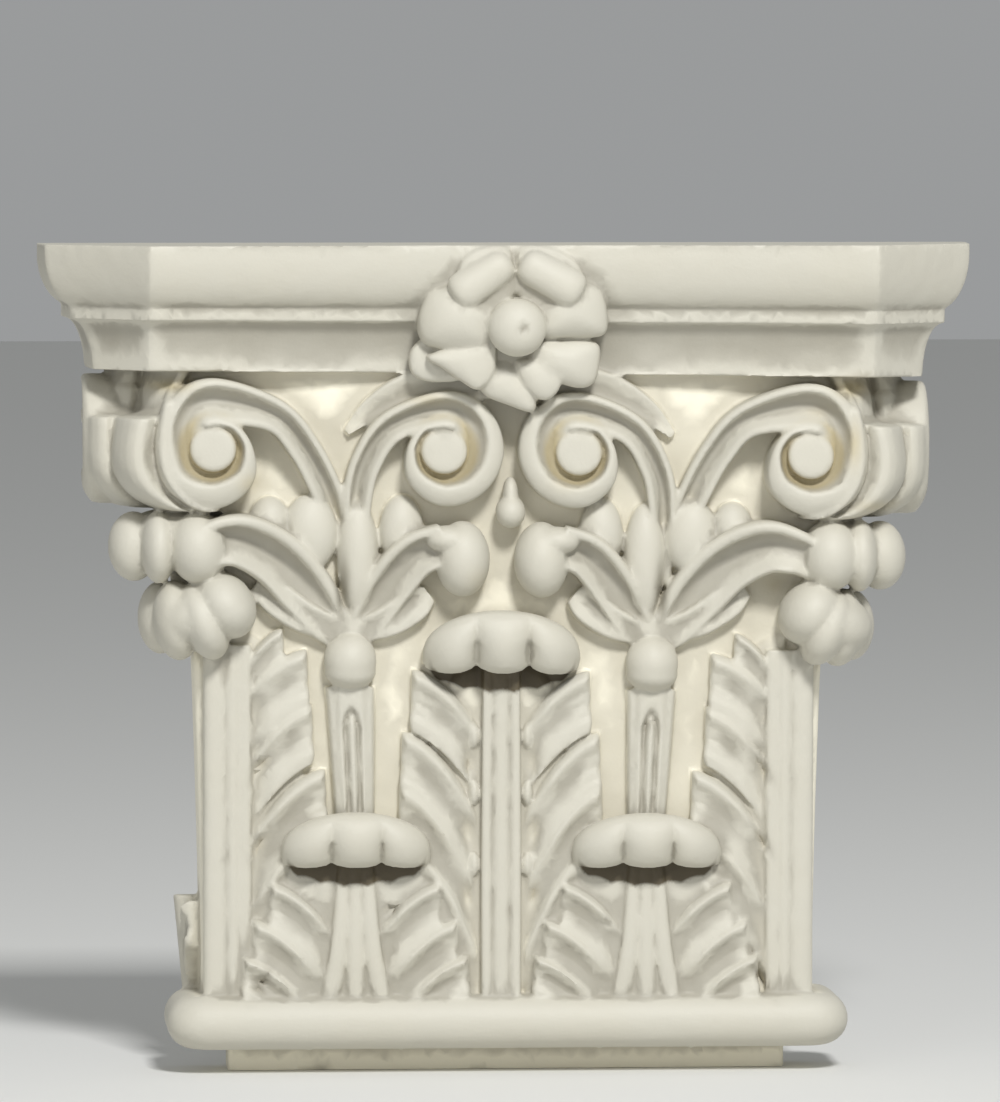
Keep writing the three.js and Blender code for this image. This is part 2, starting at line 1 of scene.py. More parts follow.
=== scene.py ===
import math
import bmesh
import bpy
import numpy as np
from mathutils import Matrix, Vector


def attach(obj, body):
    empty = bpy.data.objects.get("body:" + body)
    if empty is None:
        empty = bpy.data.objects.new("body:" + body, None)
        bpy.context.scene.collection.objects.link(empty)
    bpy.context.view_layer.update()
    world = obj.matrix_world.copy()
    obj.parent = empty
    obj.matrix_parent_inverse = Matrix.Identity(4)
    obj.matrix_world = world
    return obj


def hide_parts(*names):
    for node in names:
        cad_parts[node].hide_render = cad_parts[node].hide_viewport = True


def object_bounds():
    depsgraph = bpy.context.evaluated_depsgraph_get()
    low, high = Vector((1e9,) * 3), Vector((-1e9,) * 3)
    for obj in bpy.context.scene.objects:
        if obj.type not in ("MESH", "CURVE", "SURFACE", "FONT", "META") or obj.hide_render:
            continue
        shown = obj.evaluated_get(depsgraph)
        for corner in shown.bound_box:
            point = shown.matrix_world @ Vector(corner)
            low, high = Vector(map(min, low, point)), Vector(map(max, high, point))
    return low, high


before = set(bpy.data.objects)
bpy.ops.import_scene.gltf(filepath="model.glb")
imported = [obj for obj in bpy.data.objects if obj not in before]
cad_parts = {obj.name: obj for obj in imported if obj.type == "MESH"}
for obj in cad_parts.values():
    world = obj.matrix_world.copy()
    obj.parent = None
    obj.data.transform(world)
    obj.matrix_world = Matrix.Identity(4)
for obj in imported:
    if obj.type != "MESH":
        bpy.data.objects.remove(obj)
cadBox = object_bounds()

# A cast plaster capital for a pilaster. Millimetres, heights from the underside of the foot, as in the part's
# source; the wall is y = 0 and the front faces -y. Everything is turned to metres when the casting is made.
millimetre = 0.001
hands = (-1, 1)

capital = {
    "height": 200,
    "depth": 47,
    "mountHeight": 100,
    "slant": 0.016,  # the carving sinks a little towards the right
    "leafShift": -2,  # leaves and stalks stand a little left of the middle
    "root": 3.0,  # ornament starts this far inside what carries it
}

bell = {
    "width": 148,
    "depth": 20,
    "corner": 4,
    "footHeight": 6,
    "footSetback": 6.5,
    "astragalHeight": 13,
    "astragalProjection": 8.5,
    "widening": 5,
    "flare": 5,
}

astragalTop = bell["footHeight"] + bell["astragalHeight"]


def bellShare(z):
    return np.clip((z - astragalTop) / (abacusBottom - astragalTop), 0, 1)


def bellHalf(z):
    return bell["width"] / 2 + bell["widening"] * bellShare(z) ** 1.5


def bellDepth(z):
    return bell["depth"] + bell["flare"] * bellShare(z) ** 2.5


# Where a carved point goes: on the front of the bell, on its side, or on a flat plane at a real depth
def onFront(hand, shift=capital["leafShift"]):
    return lambda u, z, out: (hand * u + shift, -(bellDepth(z) + out), z)


def onSide(hand):
    return lambda u, z, out: (hand * (bellHalf(z) + out), -u, z)


def frontPlane(hand):
    return lambda u, z, depth: (hand * u, -depth, z)


def sidePlane(hand):
    return lambda u, z, across: (hand * across, -u, z)


# Smooth curve through stations of any number of values
def smoothStations(stations, steps):
    p = np.array(stations, float)
    p = np.vstack([2 * p[0] - p[1], p, 2 * p[-1] - p[-2]])
    spans = len(p) - 3
    made = []
    for i in range(steps + 1):
        t = i / steps * spans
        k = min(int(t), spans - 1)
        t -= k
        a, b, c, d = p[k:k + 4]
        made.append(0.5 * (2 * b + (c - a) * t + (2 * a - 5 * b + 4 * c - d) * t * t
                           + (3 * b - a - 3 * c + d) * t ** 3))
    return np.array(made)


# The casting is fused from closed shells
shells = []


def addShell(points, faces):
    shells.append((np.array(points, float), faces))


def addLoft(rings):
    rings = np.array(rings, float)
    rows, count = rings.shape[:2]
    points = rings.reshape(-1, 3)
    last = (rows - 1) * count
    around = [(j, (j + 1) % count) for j in range(count)]
    faces = [(i + j, i + k, i + count + k, i + count + j) for i in range(0, last, count) for j, k in around]
    for j, k in around:
        faces += [(len(points), k, j), (len(points) + 1, last + j, last + k)]
    addShell(np.vstack([points, rings[0].mean(0), rings[-1].mean(0)]), faces)


# The first radius of a ball lies along the given direction in the plane of the wall
def addBall(centre, radii, along=(1, 0, 0), columns=28, rows=18):
    x = np.array(along, float) / np.linalg.norm(along)
    y = np.array((0, -1, 0))
    z = np.cross(x, y)
    rings = []
    for i in range(1, rows):
        a = math.pi * i / rows
        ring = []
        for j in range(columns):
            b = 2 * math.pi * j / columns
            out = math.sin(a)
            ring.append(np.array(centre) + math.cos(a) * radii[0] * x + out * math.cos(b) * radii[1] * y
                        + out * math.sin(b) * radii[2] * z)
        rings.append(ring)
    addLoft(rings)


def shaftRing(halfWidth, depth, radius, z, steps=6):
    ring = []
    for hand in hands:
        arc = [(hand * halfWidth, 0, z)]
        for i in range(steps + 1):
            turn = i / steps * math.pi / 2
            x = halfWidth - radius * (1 - math.cos(turn))
            y = depth - radius * (1 - math.sin(turn))
            arc.append((hand * x, -y, z))
        ring += arc if hand < 0 else arc[::-1]
    return ring


def makeBell():
    half = bell["width"] / 2
    footHalf = half - bell["footSetback"]
    footDepth = bell["depth"] - bell["footSetback"]
    rings = [shaftRing(footHalf, footDepth, 1, z) for z in (0, bell["footHeight"])]
    beadSteps = 20
    beadFlat = 0.25
    for i in range(beadSteps + 1):
        turn = i / beadSteps * math.pi
        out = bell["astragalProjection"] * (beadFlat + (1 - beadFlat) * math.sin(turn))
        z = bell["footHeight"] + bell["astragalHeight"] / 2 * (1 - math.cos(turn))
        rings.append(shaftRing(half + out, bell["depth"] + out, bell["corner"] + out * 0.6, z))
    levels = 24
    for i in range(levels + 1):
        z = astragalTop + i / levels * (abacusBottom + 4 - astragalTop)
        rings.append(shaftRing(bellHalf(z), bellDepth(z), bell["corner"], z))
    addLoft(rings)


abacus = {
    "width": 223,
    "depth": 46,
    "height": 31,
    "hollow": 7,
    "hornWidth": 24.6,
    "draft": 1.6,
    "ovoloHeight": 15.5,
    "ovoloProjection": 8,
    "quirk": 0.8,  # step under the ovolo
    "filletHeight": 3,
    "filletProjection": 1.6,  # past the foot of the ovolo
    "filletEdge": 0.4,  # past the cavetto
    "cavettoProjection": 5,
    "rimHeight": 2,
}
abacusBottom = capital["height"] - abacus["height"]


def abacusRing(inset, z, steps=24):
    half = abacus["width"] / 2 - inset
    arrisX = abacus["width"] / 2 - abacus["hornWidth"]
    arrisDepth = abacus["depth"] - inset
    sideDepth = abacus["depth"] - abacus["hornWidth"]
    ring = [(-half - abacus["draft"], 0, z), (-half, -sideDepth, z)]
    for i in range(steps + 1):
        share = 2 * i / steps - 1
        depth = arrisDepth - abacus["hollow"] * (1 - share * share)
        ring.append((share * arrisX, -depth, z))
    return ring + [(half, -sideDepth, z), (half + abacus["draft"], 0, z)]


def makeAbacus():
    rings = []
    steps = 12
    filletInset = abacus["ovoloProjection"] - abacus["filletProjection"]
    ovoloBottom = capital["height"] - abacus["ovoloHeight"]
    cavettoHeight = abacus["height"] - abacus["ovoloHeight"] - abacus["filletHeight"]
    for i in range(steps + 1):
        turn = i / steps * math.pi / 2
        rings.append(abacusRing(filletInset + abacus["cavettoProjection"] * math.cos(turn),
                                abacusBottom + cavettoHeight * math.sin(turn)))
    rings.append(abacusRing(filletInset - abacus["filletEdge"], ovoloBottom - abacus["filletHeight"]))
    rings.append(abacusRing(filletInset - abacus["filletEdge"], ovoloBottom))
    for i in range(steps + 1):
        turn = i / steps * math.pi / 2
        rings.append(abacusRing(abacus["ovoloProjection"] * (1 - math.sin(turn)) + (abacus["quirk"] if i == 0 else 0),
                                ovoloBottom + (abacus["ovoloHeight"] - abacus["rimHeight"]) * (1 - math.cos(turn))))
    rings.append(abacusRing(0, capital["height"]))
    addLoft(rings)


# One Geometry Nodes tree sweeps the carved bands along their paths. Height is how far a band rises above its path,
# as a share of its half width.
bandKinds = {
    "channel": {"Height": 0.75, "Hollow": 0.62, "Root": 4.0, "Squareness": 0.45, "Points Around": 40},
    "roll": {"Height": 0.7, "Hollow": 0.0, "Root": 4.5, "Squareness": 0.8, "Points Around": 28},
}
bands = {kind: [] for kind in bandKinds}
thinnestBand = 0.2


def addBand(kind, place, stations, steps=36):
    height = bandKinds[kind]["Height"]
    run = smoothStations(stations, steps)
    halfWidths = np.maximum(run[:, 2], thinnestBand) / 2
    points = []
    outward = []
    for (u, z, _, crest), half in zip(run, halfWidths):
        level = crest - height * half
        points.append(place(u, z, level))
        outward.append(np.array(place(u, z, level + 1)) - points[-1])
    bands[kind].append((np.array(points), halfWidths, np.array(outward)))


# Links hold what goes to each input, by name or number: a socket is linked, anything else is set
def addNode(tree, kind, settings, links):
    node = tree.nodes.new(kind)
    for name, value in settings.items():
        setattr(node, name, value)
    for key, value in links.items():
        if isinstance(value, bpy.types.NodeSocket):
            tree.links.new(value, node.inputs[key])
        else:
            node.inputs[key].default_value = value
    return node.outputs


def bandTree(material):
    tree = bpy.data.node_groups.new("carvedBand", "GeometryNodeTree")
    sockets = {"Path": "Geometry", "Height": "Float", "Hollow": "Float", "Root": "Float", "Squareness": "Float",
               "Points Around": "Int"}
    for name, kind in sockets.items():
        tree.interface.new_socket(name, in_out="INPUT", socket_type="NodeSocket" + kind)
    tree.interface.new_socket("Band", in_out="OUTPUT", socket_type="NodeSocketGeometry")
    given = addNode(tree, "NodeGroupInput", {}, {})
    held = "GeometryNodeInputNamedAttribute"
    halfWidth = addNode(tree, held, {"data_type": "FLOAT"}, {"Name": "halfWidth"})[0]
    outward = addNode(tree, held, {"data_type": "FLOAT_VECTOR"}, {"Name": "outward"})[0]
    line = addNode(tree, "GeometryNodeMeshToCurve", {}, {"Mesh": given["Path"]})[0]
    line = addNode(tree, "GeometryNodeSetCurveRadius", {}, {"Curve": line, "Radius": halfWidth})[0]
    line = addNode(tree, "GeometryNodeSetCurveNormal", {"mode": "FREE"}, {"Curve": line, "Normal": outward})[0]
    ring = addNode(tree, "GeometryNodeCurvePrimitiveCircle", {"mode": "RADIUS"},
                   {"Resolution": given["Points Around"], "Radius": 1.0})[0]
    # the section is that ring flattened, its upper half hollowed and its lower half the root
    around = addNode(tree, "GeometryNodeInputPosition", {}, {})[0]
    split = addNode(tree, "ShaderNodeSeparateXYZ", {}, {"Vector": around})
    terms = {"x": split["X"], "y": split["Y"]}
    terms.update({name: given[name] for name in ("Height", "Hollow", "Root", "Squareness")})
    for name, operation, *inputs in (
            ("side", "SIGN", "y"), ("across", "ABSOLUTE", "y"), ("across", "POWER", "across", "Squareness"),
            ("across", "MULTIPLY", "side", "across"),
            ("upper", "MAXIMUM", "x", 0.0), ("upper", "POWER", "upper", "Squareness"),
            ("upper", "MULTIPLY", "upper", "Height"), ("bowl", "MULTIPLY", "across", "across"),
            ("bowl", "SUBTRACT", 1.0, "bowl"), ("bowl", "MAXIMUM", "bowl", 0.0), ("bowl", "POWER", "bowl", 1.4),
            ("bowl", "MULTIPLY", "bowl", "Hollow"), ("upper", "SUBTRACT", "upper", "bowl"),
            ("isUpper", "GREATER_THAN", "x", 0.0001), ("upper", "MULTIPLY", "upper", "isUpper"),
            ("lower", "MINIMUM", "x", 0.0), ("lower", "SIGN", "lower"), ("lower", "MULTIPLY", "lower", "Root"),
            ("out", "ADD", "upper", "lower")):
        links = {number: terms.get(term, term) for number, term in enumerate(inputs)}
        terms[name] = addNode(tree, "ShaderNodeMath", {"operation": operation}, links)[0]
    place = addNode(tree, "ShaderNodeCombineXYZ", {}, {"X": terms["out"], "Y": terms["across"]})[0]
    section = addNode(tree, "GeometryNodeSetPosition", {}, {"Geometry": ring, "Position": place})[0]
    swept = addNode(tree, "GeometryNodeCurveToMesh", {},
                    {"Curve": line, "Profile Curve": section, "Scale": halfWidth, "Fill Caps": True})[0]
    whole = addNode(tree, "GeometryNodeRealizeInstances", {}, {"Geometry": swept})[0]
    painted = addNode(tree, "GeometryNodeSetMaterial", {}, {"Geometry": whole, "Material": material})[0]
    addNode(tree, "NodeGroupOutput", {}, {"Band": painted})
    return tree


def addObject(name, data):
    made = bpy.data.objects.new(name, data)
    bpy.context.scene.collection.objects.link(made)
    return made


def evaluated(holder):
    mesh = bpy.data.meshes.new_from_object(holder.evaluated_get(bpy.context.evaluated_depsgraph_get()))
    bpy.data.objects.remove(holder)
    return mesh


def readVectors(mesh, name):
    values = np.empty(len(mesh.vertices) * 3)
    mesh.vertices.foreach_get(name, values)
    return values.reshape(-1, 3)


def sweepBands(material):
    tree = bandTree(material)
    sockets = {item.name: item.identifier for item in tree.interface.items_tree if item.in_out == "INPUT"}
    for kind, runs in bands.items():
        points, halfWidths, outward = (np.concatenate(values) for values in zip(*runs))
        edges = []
        start = 0
        for run in runs:
            edges += [(start + i, start + i + 1) for i in range(len(run[0]) - 1)]
            start += len(run[0])
        mesh = bpy.data.meshes.new(kind + "Paths")
        mesh.from_pydata(points.tolist(), edges, [])
        mesh.attributes.new("halfWidth", "FLOAT", "POINT").data.foreach_set("value", halfWidths)
        mesh.attributes.new("outward", "FLOAT_VECTOR", "POINT").data.foreach_set("vector", outward.ravel())
        carver = addObject(kind + "Bands", mesh)
        modifier = carver.modifiers.new("carvedBand", "NODES")
        modifier.node_group = tree
        for name, value in bandKinds[kind].items():
            modifier[sockets[name]] = value
        swept = evaluated(carver)
        addShell(readVectors(swept, "co"), [tuple(p.vertices) for p in swept.polygons])
        print("swept", len(runs), kind, "bands,", len(swept.polygons), "faces")


# A band with a section that changes on its way. Stations hold u, z, width, crest and what else the section reads.
def addSweep(place, stations, section, steps):
    run = smoothStations(stations, steps)
    rings = []
    for i, row in enumerate(run):
        step = run[min(i + 1, steps)][:2] - run[max(i - 1, 0)][:2]
        du, dz = step / np.hypot(*step)
        rings.append([place(row[0] + dz * across, row[1] - du * across, level) for across, level in section(row)])
    addLoft(rings)


volutes = {
    "drop": 18.6,
    "cornerEyeInset": 39.8,
    "innerEyeOffset": 16.2,
    "eyeRadius": 5.6,
    "cornerSetback": 9,
    "innerRelief": 9.5,
    "recess": 5.2,
    "barrelTop": 157.4,
    "barrelReach": 13.2,
    "barrelDrop": 15.4,
    "cove": 5.6,  # above the barrel the stave draws back this far
    "bulge": 1.2,
    "stemRims": (1.4, 1.7, 3.4),  # inner rim, outer rim, depth of the channel
    # every eighth of a turn from the top: outer and inner radius, inner rim, outer rim, depth of the channel
    "cornerCoil": ((17, 5.5, 1.3, 1.9, 4.6), (15.2, 5.5, 0.6, 3.2, 4.4), (13.9, 5.4, 0.1, 4.4, 3.8),
                   (14.8, 5.4, 0.1, 5.1, 4), (14.6, 5.4, 0.1, 5.8, 4.6), (12.8, 5.4, 0.1, 4.4, 4.6),
                   (9.6, 5.4, 0.1, 2, 4), (8.2, 5.4, 0.1, 1.4, 3), (7, 5.4, 0.1, 0.8, 2)),
    "innerCoil": ((14.4, 5.5, 1.2, 1.8, 4.2), (14.8, 5.5, 0.6, 3, 4.2), (14.5, 5.4, 0.1, 4.2, 3.8),
                  (13.9, 5.4, 0.1, 4.5, 4), (13.4, 5.4, 0.1, 4.8, 4.4), (11.4, 5.4, 0.1, 3.6, 4.2),
                  (9, 5.4, 0.1, 1.8, 3.6), (7.9, 5.4, 0.1, 1.2, 2.6), (6.9, 5.4, 0.1, 0.7, 1.8)),
}
eyeHeight = abacusBottom - volutes["drop"]
cornerEye = abacus["width"] / 2 - volutes["cornerEyeInset"]
cornerFront = abacus["depth"] - volutes["cornerSetback"]
cornerSide = abacus["width"] / 2 - volutes["cornerSetback"]
sideEye = cornerFront + cornerEye - cornerSide


# Across a strap from the eye's side: inner rim, hollow channel, outer rim. Where the inner rim runs out the channel
# becomes a slope down to the eye.
def strapSection(row, root, side):
    width, crest, innerRim, outerRim, deep = row[2], row[3], max(row[4], 0.1), max(row[5], 0.3), row[6]
    channel = max(width - innerRim - outerRim, 0.3)
    fall = 0.5 * max(0, outerRim - 1.8)  # a broad outer rim falls away
    rimmed = min(innerRim, 1)
    low = -deep * (1 - rimmed)
    points = [(0, root), (0.02, crest + low - 0.9 * rimmed)]
    for t in (0.2, 0.5, 0.8):
        points.append((innerRim * t, crest + low - 0.25 * (2 * t - 1) ** 2))
    for t in (0.03, 0.1, 0.2, 0.35, 0.5, 0.65, 0.8, 0.9, 0.97):
        bowl = rimmed * deep * math.sin(math.pi * t ** 1.5) ** 0.8
        points.append((innerRim + channel * t, crest - 0.3 * t - bowl + low * (1 - t ** 2)))
    for t in (0.08, 0.25, 0.45, 0.65, 0.85, 0.95):
        rounding = 0.4 * abs(2 * t - 0.6) ** 2.2
        points.append((innerRim + channel + outerRim * t, crest - rounding - fall * t ** 1.7))
    points += [(width, crest - 2.2 - fall), (width, root)]
    return [(side * (width / 2 - v), level) for v, level in points]


def addVolute(place, eye, stem, coil, crest, base, back, inward=False):
    sign = -1 if inward else 1
    stations = [(u, eye[1] + z, width, base + sunk, *volutes["stemRims"]) for u, z, width, sunk in stem]
    for i, (outer, inner, innerRim, outerRim, deep) in enumerate(coil):
        turn = math.pi / 2 - i * math.pi / 4
        middle = (outer + inner) / 2
        stations.append((eye[0] + sign * middle * math.cos(turn), eye[1] + middle * math.sin(turn), outer - inner,
                         crest, innerRim, outerRim, deep))
    addSweep(place, stations, lambda row: strapSection(row, back, sign), 150)

    def disc(radius, depth):
        turns = [2 * math.pi * i / 40 for i in range(40)]
        return [place(eye[0] + radius * math.cos(t), eye[1] + radius * math.sin(t), depth) for t in turns]
    r = volutes["eyeRadius"]
    dome = ((1, 2), (0.95, 1.2), (0.8, 0.85), (0.4, 0.8))  # share of the radius, and how far under the crest
    addLoft([disc(r, back)] + [disc(r * share, crest - under) for share, under in dome])
    addLoft([disc(r + 2.6, back), disc(r + 2.4, crest - volutes["recess"])])


def makeInnerVolutes(hand):
    s = leaves["knobSpread"]
    x = volutes["innerEyeOffset"]
    crest = bellDepth(eyeHeight) + volutes["innerRelief"]
    # the stem: u, height from the eye, width, height over the bell
    stem = ((s + 0.2, -32, 5, 0.5), (s + 0.2, -23, 5.8, 2), (s + 0.4, -13, 7, 4), (s - 1.6, -3.4, 7.4, 6),
            (x + 12.4, 5.6, 7.6, 8))
    addVolute(frontPlane(hand), (x, eyeHeight), stem, volutes["innerCoil"], crest, bellDepth(eyeHeight),
              bell["depth"] - capital["root"], inward=True)


def makeCornerVolutes(hand):
    s = leaves["knobSpread"]
    stem = ((s + 4.6, -24, 5, -1), (s + 5.6, -18, 6, 1), (s + 7.4, -11, 7.6, 4), (s + 13.2, 0.2, 7.8, 7),
            (cornerEye - 14.6, 8.2, 8.2, 10))
    addVolute(frontPlane(hand), (cornerEye, eyeHeight), stem, volutes["cornerCoil"], cornerFront,
              bellDepth(eyeHeight), bell["depth"] - capital["root"])
    sideStem = ((-15, -2, 8, 0), (-11, 5, 8, 0), (-5, 11, 8, 0))
    addVolute(sidePlane(hand), (sideEye, eyeHeight), sideStem, volutes["cornerCoil"], cornerSide, cornerSide,
              bell["width"] / 2 - capital["root"])
    # the staves that join the front spiral to the side one: a bulging one between two rims
    reach = volutes["barrelReach"]
    above = volutes["drop"] + 1.5
    below = volutes["barrelDrop"]
    stave = ((-5, -9), (-2.6, -0.6), (-1.2, 0), (-0.3, -0.4), (0.3, -3), (0.9, -4), (1.5, -2.6), (2.8, -1.2),
             (4.6, -1.2), (6.4, -2.6), (8, -5.2), (9.2, -8.2), (9.8, -11.6), (10.4, -14), (11, -12.6), (12.2, -11.8),
             (13.8, -12.6), (15.4, -14.8), (16.2, -17.2))
    rings = []
    steps = 64
    for i in range(steps + 1):
        level = -0.99 + 1.99 * i / steps
        z = eyeHeight + level * (below if level < 0 else above)
        chord = reach * math.sqrt(1 - level * level * (1 if level < 0 else 0.72))
        tuck = 2.5 * level ** 4 if level < 0 else 0
        rimX = cornerEye + chord
        rimY = sideEye + chord
        sideTuck = 9 * abs(level) ** 3.4 if level < 0 else 0
        spread = (cornerSide - sideTuck - rimX) / (cornerSide - cornerEye - reach)
        sink = (cornerFront - tuck - rimY) / (cornerFront - sideEye - reach)
        cove = volutes["cove"] * min(1, max(0, (z - volutes["barrelTop"]) / 1.6)) ** 0.5
        swell = math.cos(math.pi / 2 * min(1, abs(z - volutes["barrelTop"] + 12) / 12))
        bulge = 0 if cove else volutes["bulge"] * swell
        rimBack = 7 * min(1, max(0, (z - eyeHeight - 11) / 4))
        plan = [(cornerEye - 3, 0), (cornerEye - 3, bell["depth"] - 2)]
        for x, y in stave:
            back = cove * min(1, max(0, x - 0.6) / 2) - bulge * (1 < x < 10)
            plan.append((rimX + x * (spread if x > 0 else 1) - back,
                         cornerFront - tuck + y * (sink if x > 0 else 1) - max(back, rimBack)))
        plan += [(cornerSide - sideTuck - cove, rimY - 4 - cove),
                 (cornerSide - 7 - sideTuck / 2 - cove, rimY - 7 - cove), (cornerSide - 9 - cove, 0)]
        rings.append([(hand * x, -y, z) for x, y in plan])
    addLoft(rings)


leaves = {
    "lowerSpread": 35.1,
    "lowerTop": 63.5,
    "upperTop": 112.3,
    "cornerTop": 117,
    "lowerWidth": 36,
    "upperWidth": 38,
    "relief": 4.6,
    "blade": 0.83,  # share of a lobe's height that is hollow; the rest rolls over
    "knobSpread": 36.4,
    "knobHeight": 99,
    "knobRadius": 6.7,
    "stalkRelief": 5,
}


# One lobe: its upper rim runs from the foot out to the tip, its blunt end is cut nearly upright with small teeth,
# and its face is hollow and sinks towards the lobe below.
def addLobe(place, foot, tip, cut, relief=leaves["relief"], footCut=1.15):
    columns, rows, blade = 30, 20, leaves["blade"]
    rings = []
    for i in range(columns + 1):
        s = i / columns
        z = foot[1] + (tip[1] - foot[1]) * (1 - (1 - s) ** 1.7)
        height = cut * (footCut + (1 - footCut) * s)
        fade = (1 - 0.4 * max(0, (s - 0.94) / 0.06) ** 2) * min(1, 0.45 + s * 1.6)
        ring = []
        for k in range(rows + 1):
            t = k / rows
            tooth = 0.9 * (1 - abs(math.sin(2.5 * math.pi * t)) ** 0.6) * s ** 8 + 0.9 * t * s
            u = foot[0] + (tip[0] - foot[0]) * s - math.copysign(tooth, tip[0] - foot[0])
            below = (blade - t) / blade
            if below < 0:
                face = 1 - 0.5 * ((t - blade) / (1 - blade)) ** 2
            else:
                face = 1 - 0.36 * math.sin(math.pi * min(1, below * 1.15) ** 0.8) ** 1.1 - 0.22 * below ** 2
            vein = 0.22 * math.cos(2 * math.pi * 5.2 * t) * s * (t < 0.82)
            ring.append((u, z - height * (1 - t), (relief * face + vein) * fade + 0.1))
        ring = [(ring[0][0], ring[0][1], -capital["root"])] + ring + [(ring[-1][0], ring[-1][1], -capital["root"])]
        rings.append([place(*p) for p in ring])
    addLoft(rings)


# The tip turns over into a hood: domed above, nearly level along its lip, parted into lobes below
def addCurledTip(place, centre, width, top, rise, reach, parting, lobes=3):
    # across the hood: how far out and how far up, as shares
    hook = [(-0.2, 0.55), (0.02, 0.74), (0.2, 0.87), (0.4, 0.96), (0.58, 1.0), (0.76, 0.96), (0.89, 0.86), (0.97, 0.71),
            (1.0, 0.54), (0.98, 0.38), (0.92, 0.23), (0.84, 0.11), (0.74, 0.03), (0.64, 0.0), (0.56, 0.05), (0.5, 0.16),
            (0.42, 0.26), (0.2, 0.32), (-0.2, 0.3)]
    steps = 22 * lobes
    rings = []
    for i in range(steps + 1):
        share = min(max(2 * i / steps - 1, -0.996), 0.996)
        crown = math.sqrt(1 - share * share)
        swell = abs(math.cos(lobes * math.pi * share / 2)) ** 0.45
        forward = reach * (0.34 + 0.66 * crown ** 0.8)
        drop = rise * 0.74 * (1 - crown ** 0.9)
        height = rise * (0.3 + 0.7 * crown ** 0.9)
        ring = []
        for out, up in hook:
            part = (1 - swell) * max(0, out - 0.25) * (1 - up) ** 0.8
            lip = part * rise * parting * 1.2 if up < 0.5 else 0
            level = -capital["root"] if out < 0 else forward * out * (1 - parting * part * 2.2)
            ring.append(place(centre + share * width / 2, top - drop - height * (1 - up) + lip, level))
        rings.append(ring)
    addLoft(rings)


# A low plate under the lobes, so that no ground shows between them
def addPlate(place, outline, relief):
    outline = np.array(outline, float)
    middle = outline.mean(0)
    rings = [[place(u, z, -capital["root"]) for u, z in outline]]
    for inset, level in ((0, relief * 0.5), (0.06, relief * 0.9), (0.14, relief)):
        rings.append([place(u, z, level) for u, z in outline + (middle - outline) * inset])
    addLoft(rings)


def makeMiddleLeaf():
    addBand("roll", onFront(1), [(0, astragalTop - 2, 11, 3), (0, leaves["upperTop"] - 8, 10, 3.6)])
    for side, width in ((-3.6, 2.3), (0, 3.8), (3.6, 2.3)):
        addBand("roll", onFront(1), [(side, astragalTop - 2, width, 4.4), (side, 60, width, 4.8),
                                     (side * 0.9, leaves["upperTop"] - 8, width * 0.95, 5.4)])
    addCurledTip(onFront(1), 0, leaves["upperWidth"], leaves["upperTop"], 15.4, 14.6, 0.34)
    rows = (((5.4, 84), (22.4, 97.4), 15), ((6.2, 64), (24.8, 82.4), 15), ((6.6, 48), (25.4, 69.8), 16),
            ((6, 32), (21.6, 54), 17))
    for hand in hands:
        place = onFront(hand)
        addPlate(place, ((3, 19), (12, 24), (17, 36), (20, 52), (20.5, 70), (17, 88), (9, 98), (3, 100)), 1.3)
        for foot, tip, cut in rows:
            addLobe(place, foot, tip, cut)
        for z in (81.6, 67.8, 50.5):
            addBall(place(6.4, z, 2), (1.2, 1.5, 3))


def makeLowerLeaf(hand):
    s = leaves["lowerSpread"]
    place = onFront(hand)
    addBand("roll", place, [(s, astragalTop - 3, 19, 3.6), (s, astragalTop + 11, 13, 4.2),
                            (s, leaves["lowerTop"] - 10, 9, 3.8)])
    for side in (-1, 0, 1):
        addBand("roll", place, [(s + side * 6.8, astragalTop - 3, 4.6, 4.6), (s + side * 4.2, astragalTop + 11, 4, 5.4),
                                (s + side * 2.8, leaves["lowerTop"] - 12, 2.6, 4.6)])
    addCurledTip(place, s, leaves["lowerWidth"], leaves["lowerTop"], 13.4, 14, 0.22)
    rows = (((4.6, 34), (21.6, 46.6), 13), ((7, 23), (25.6, 37.4), 13), ((11, 17), (28, 28.6), 10))
    ground = ((2, 18), (26, 18), (26, 28), (22, 38), (17, 46), (15, 54), (2, 54))
    for side in hands:
        addPlate(place, [(s + side * u, z) for u, z in ground], 3.4)
        for foot, tip, cut in rows:
            addLobe(place, (s + side * foot[0], foot[1]), (s + side * tip[0], tip[1]), cut, relief=6.2)


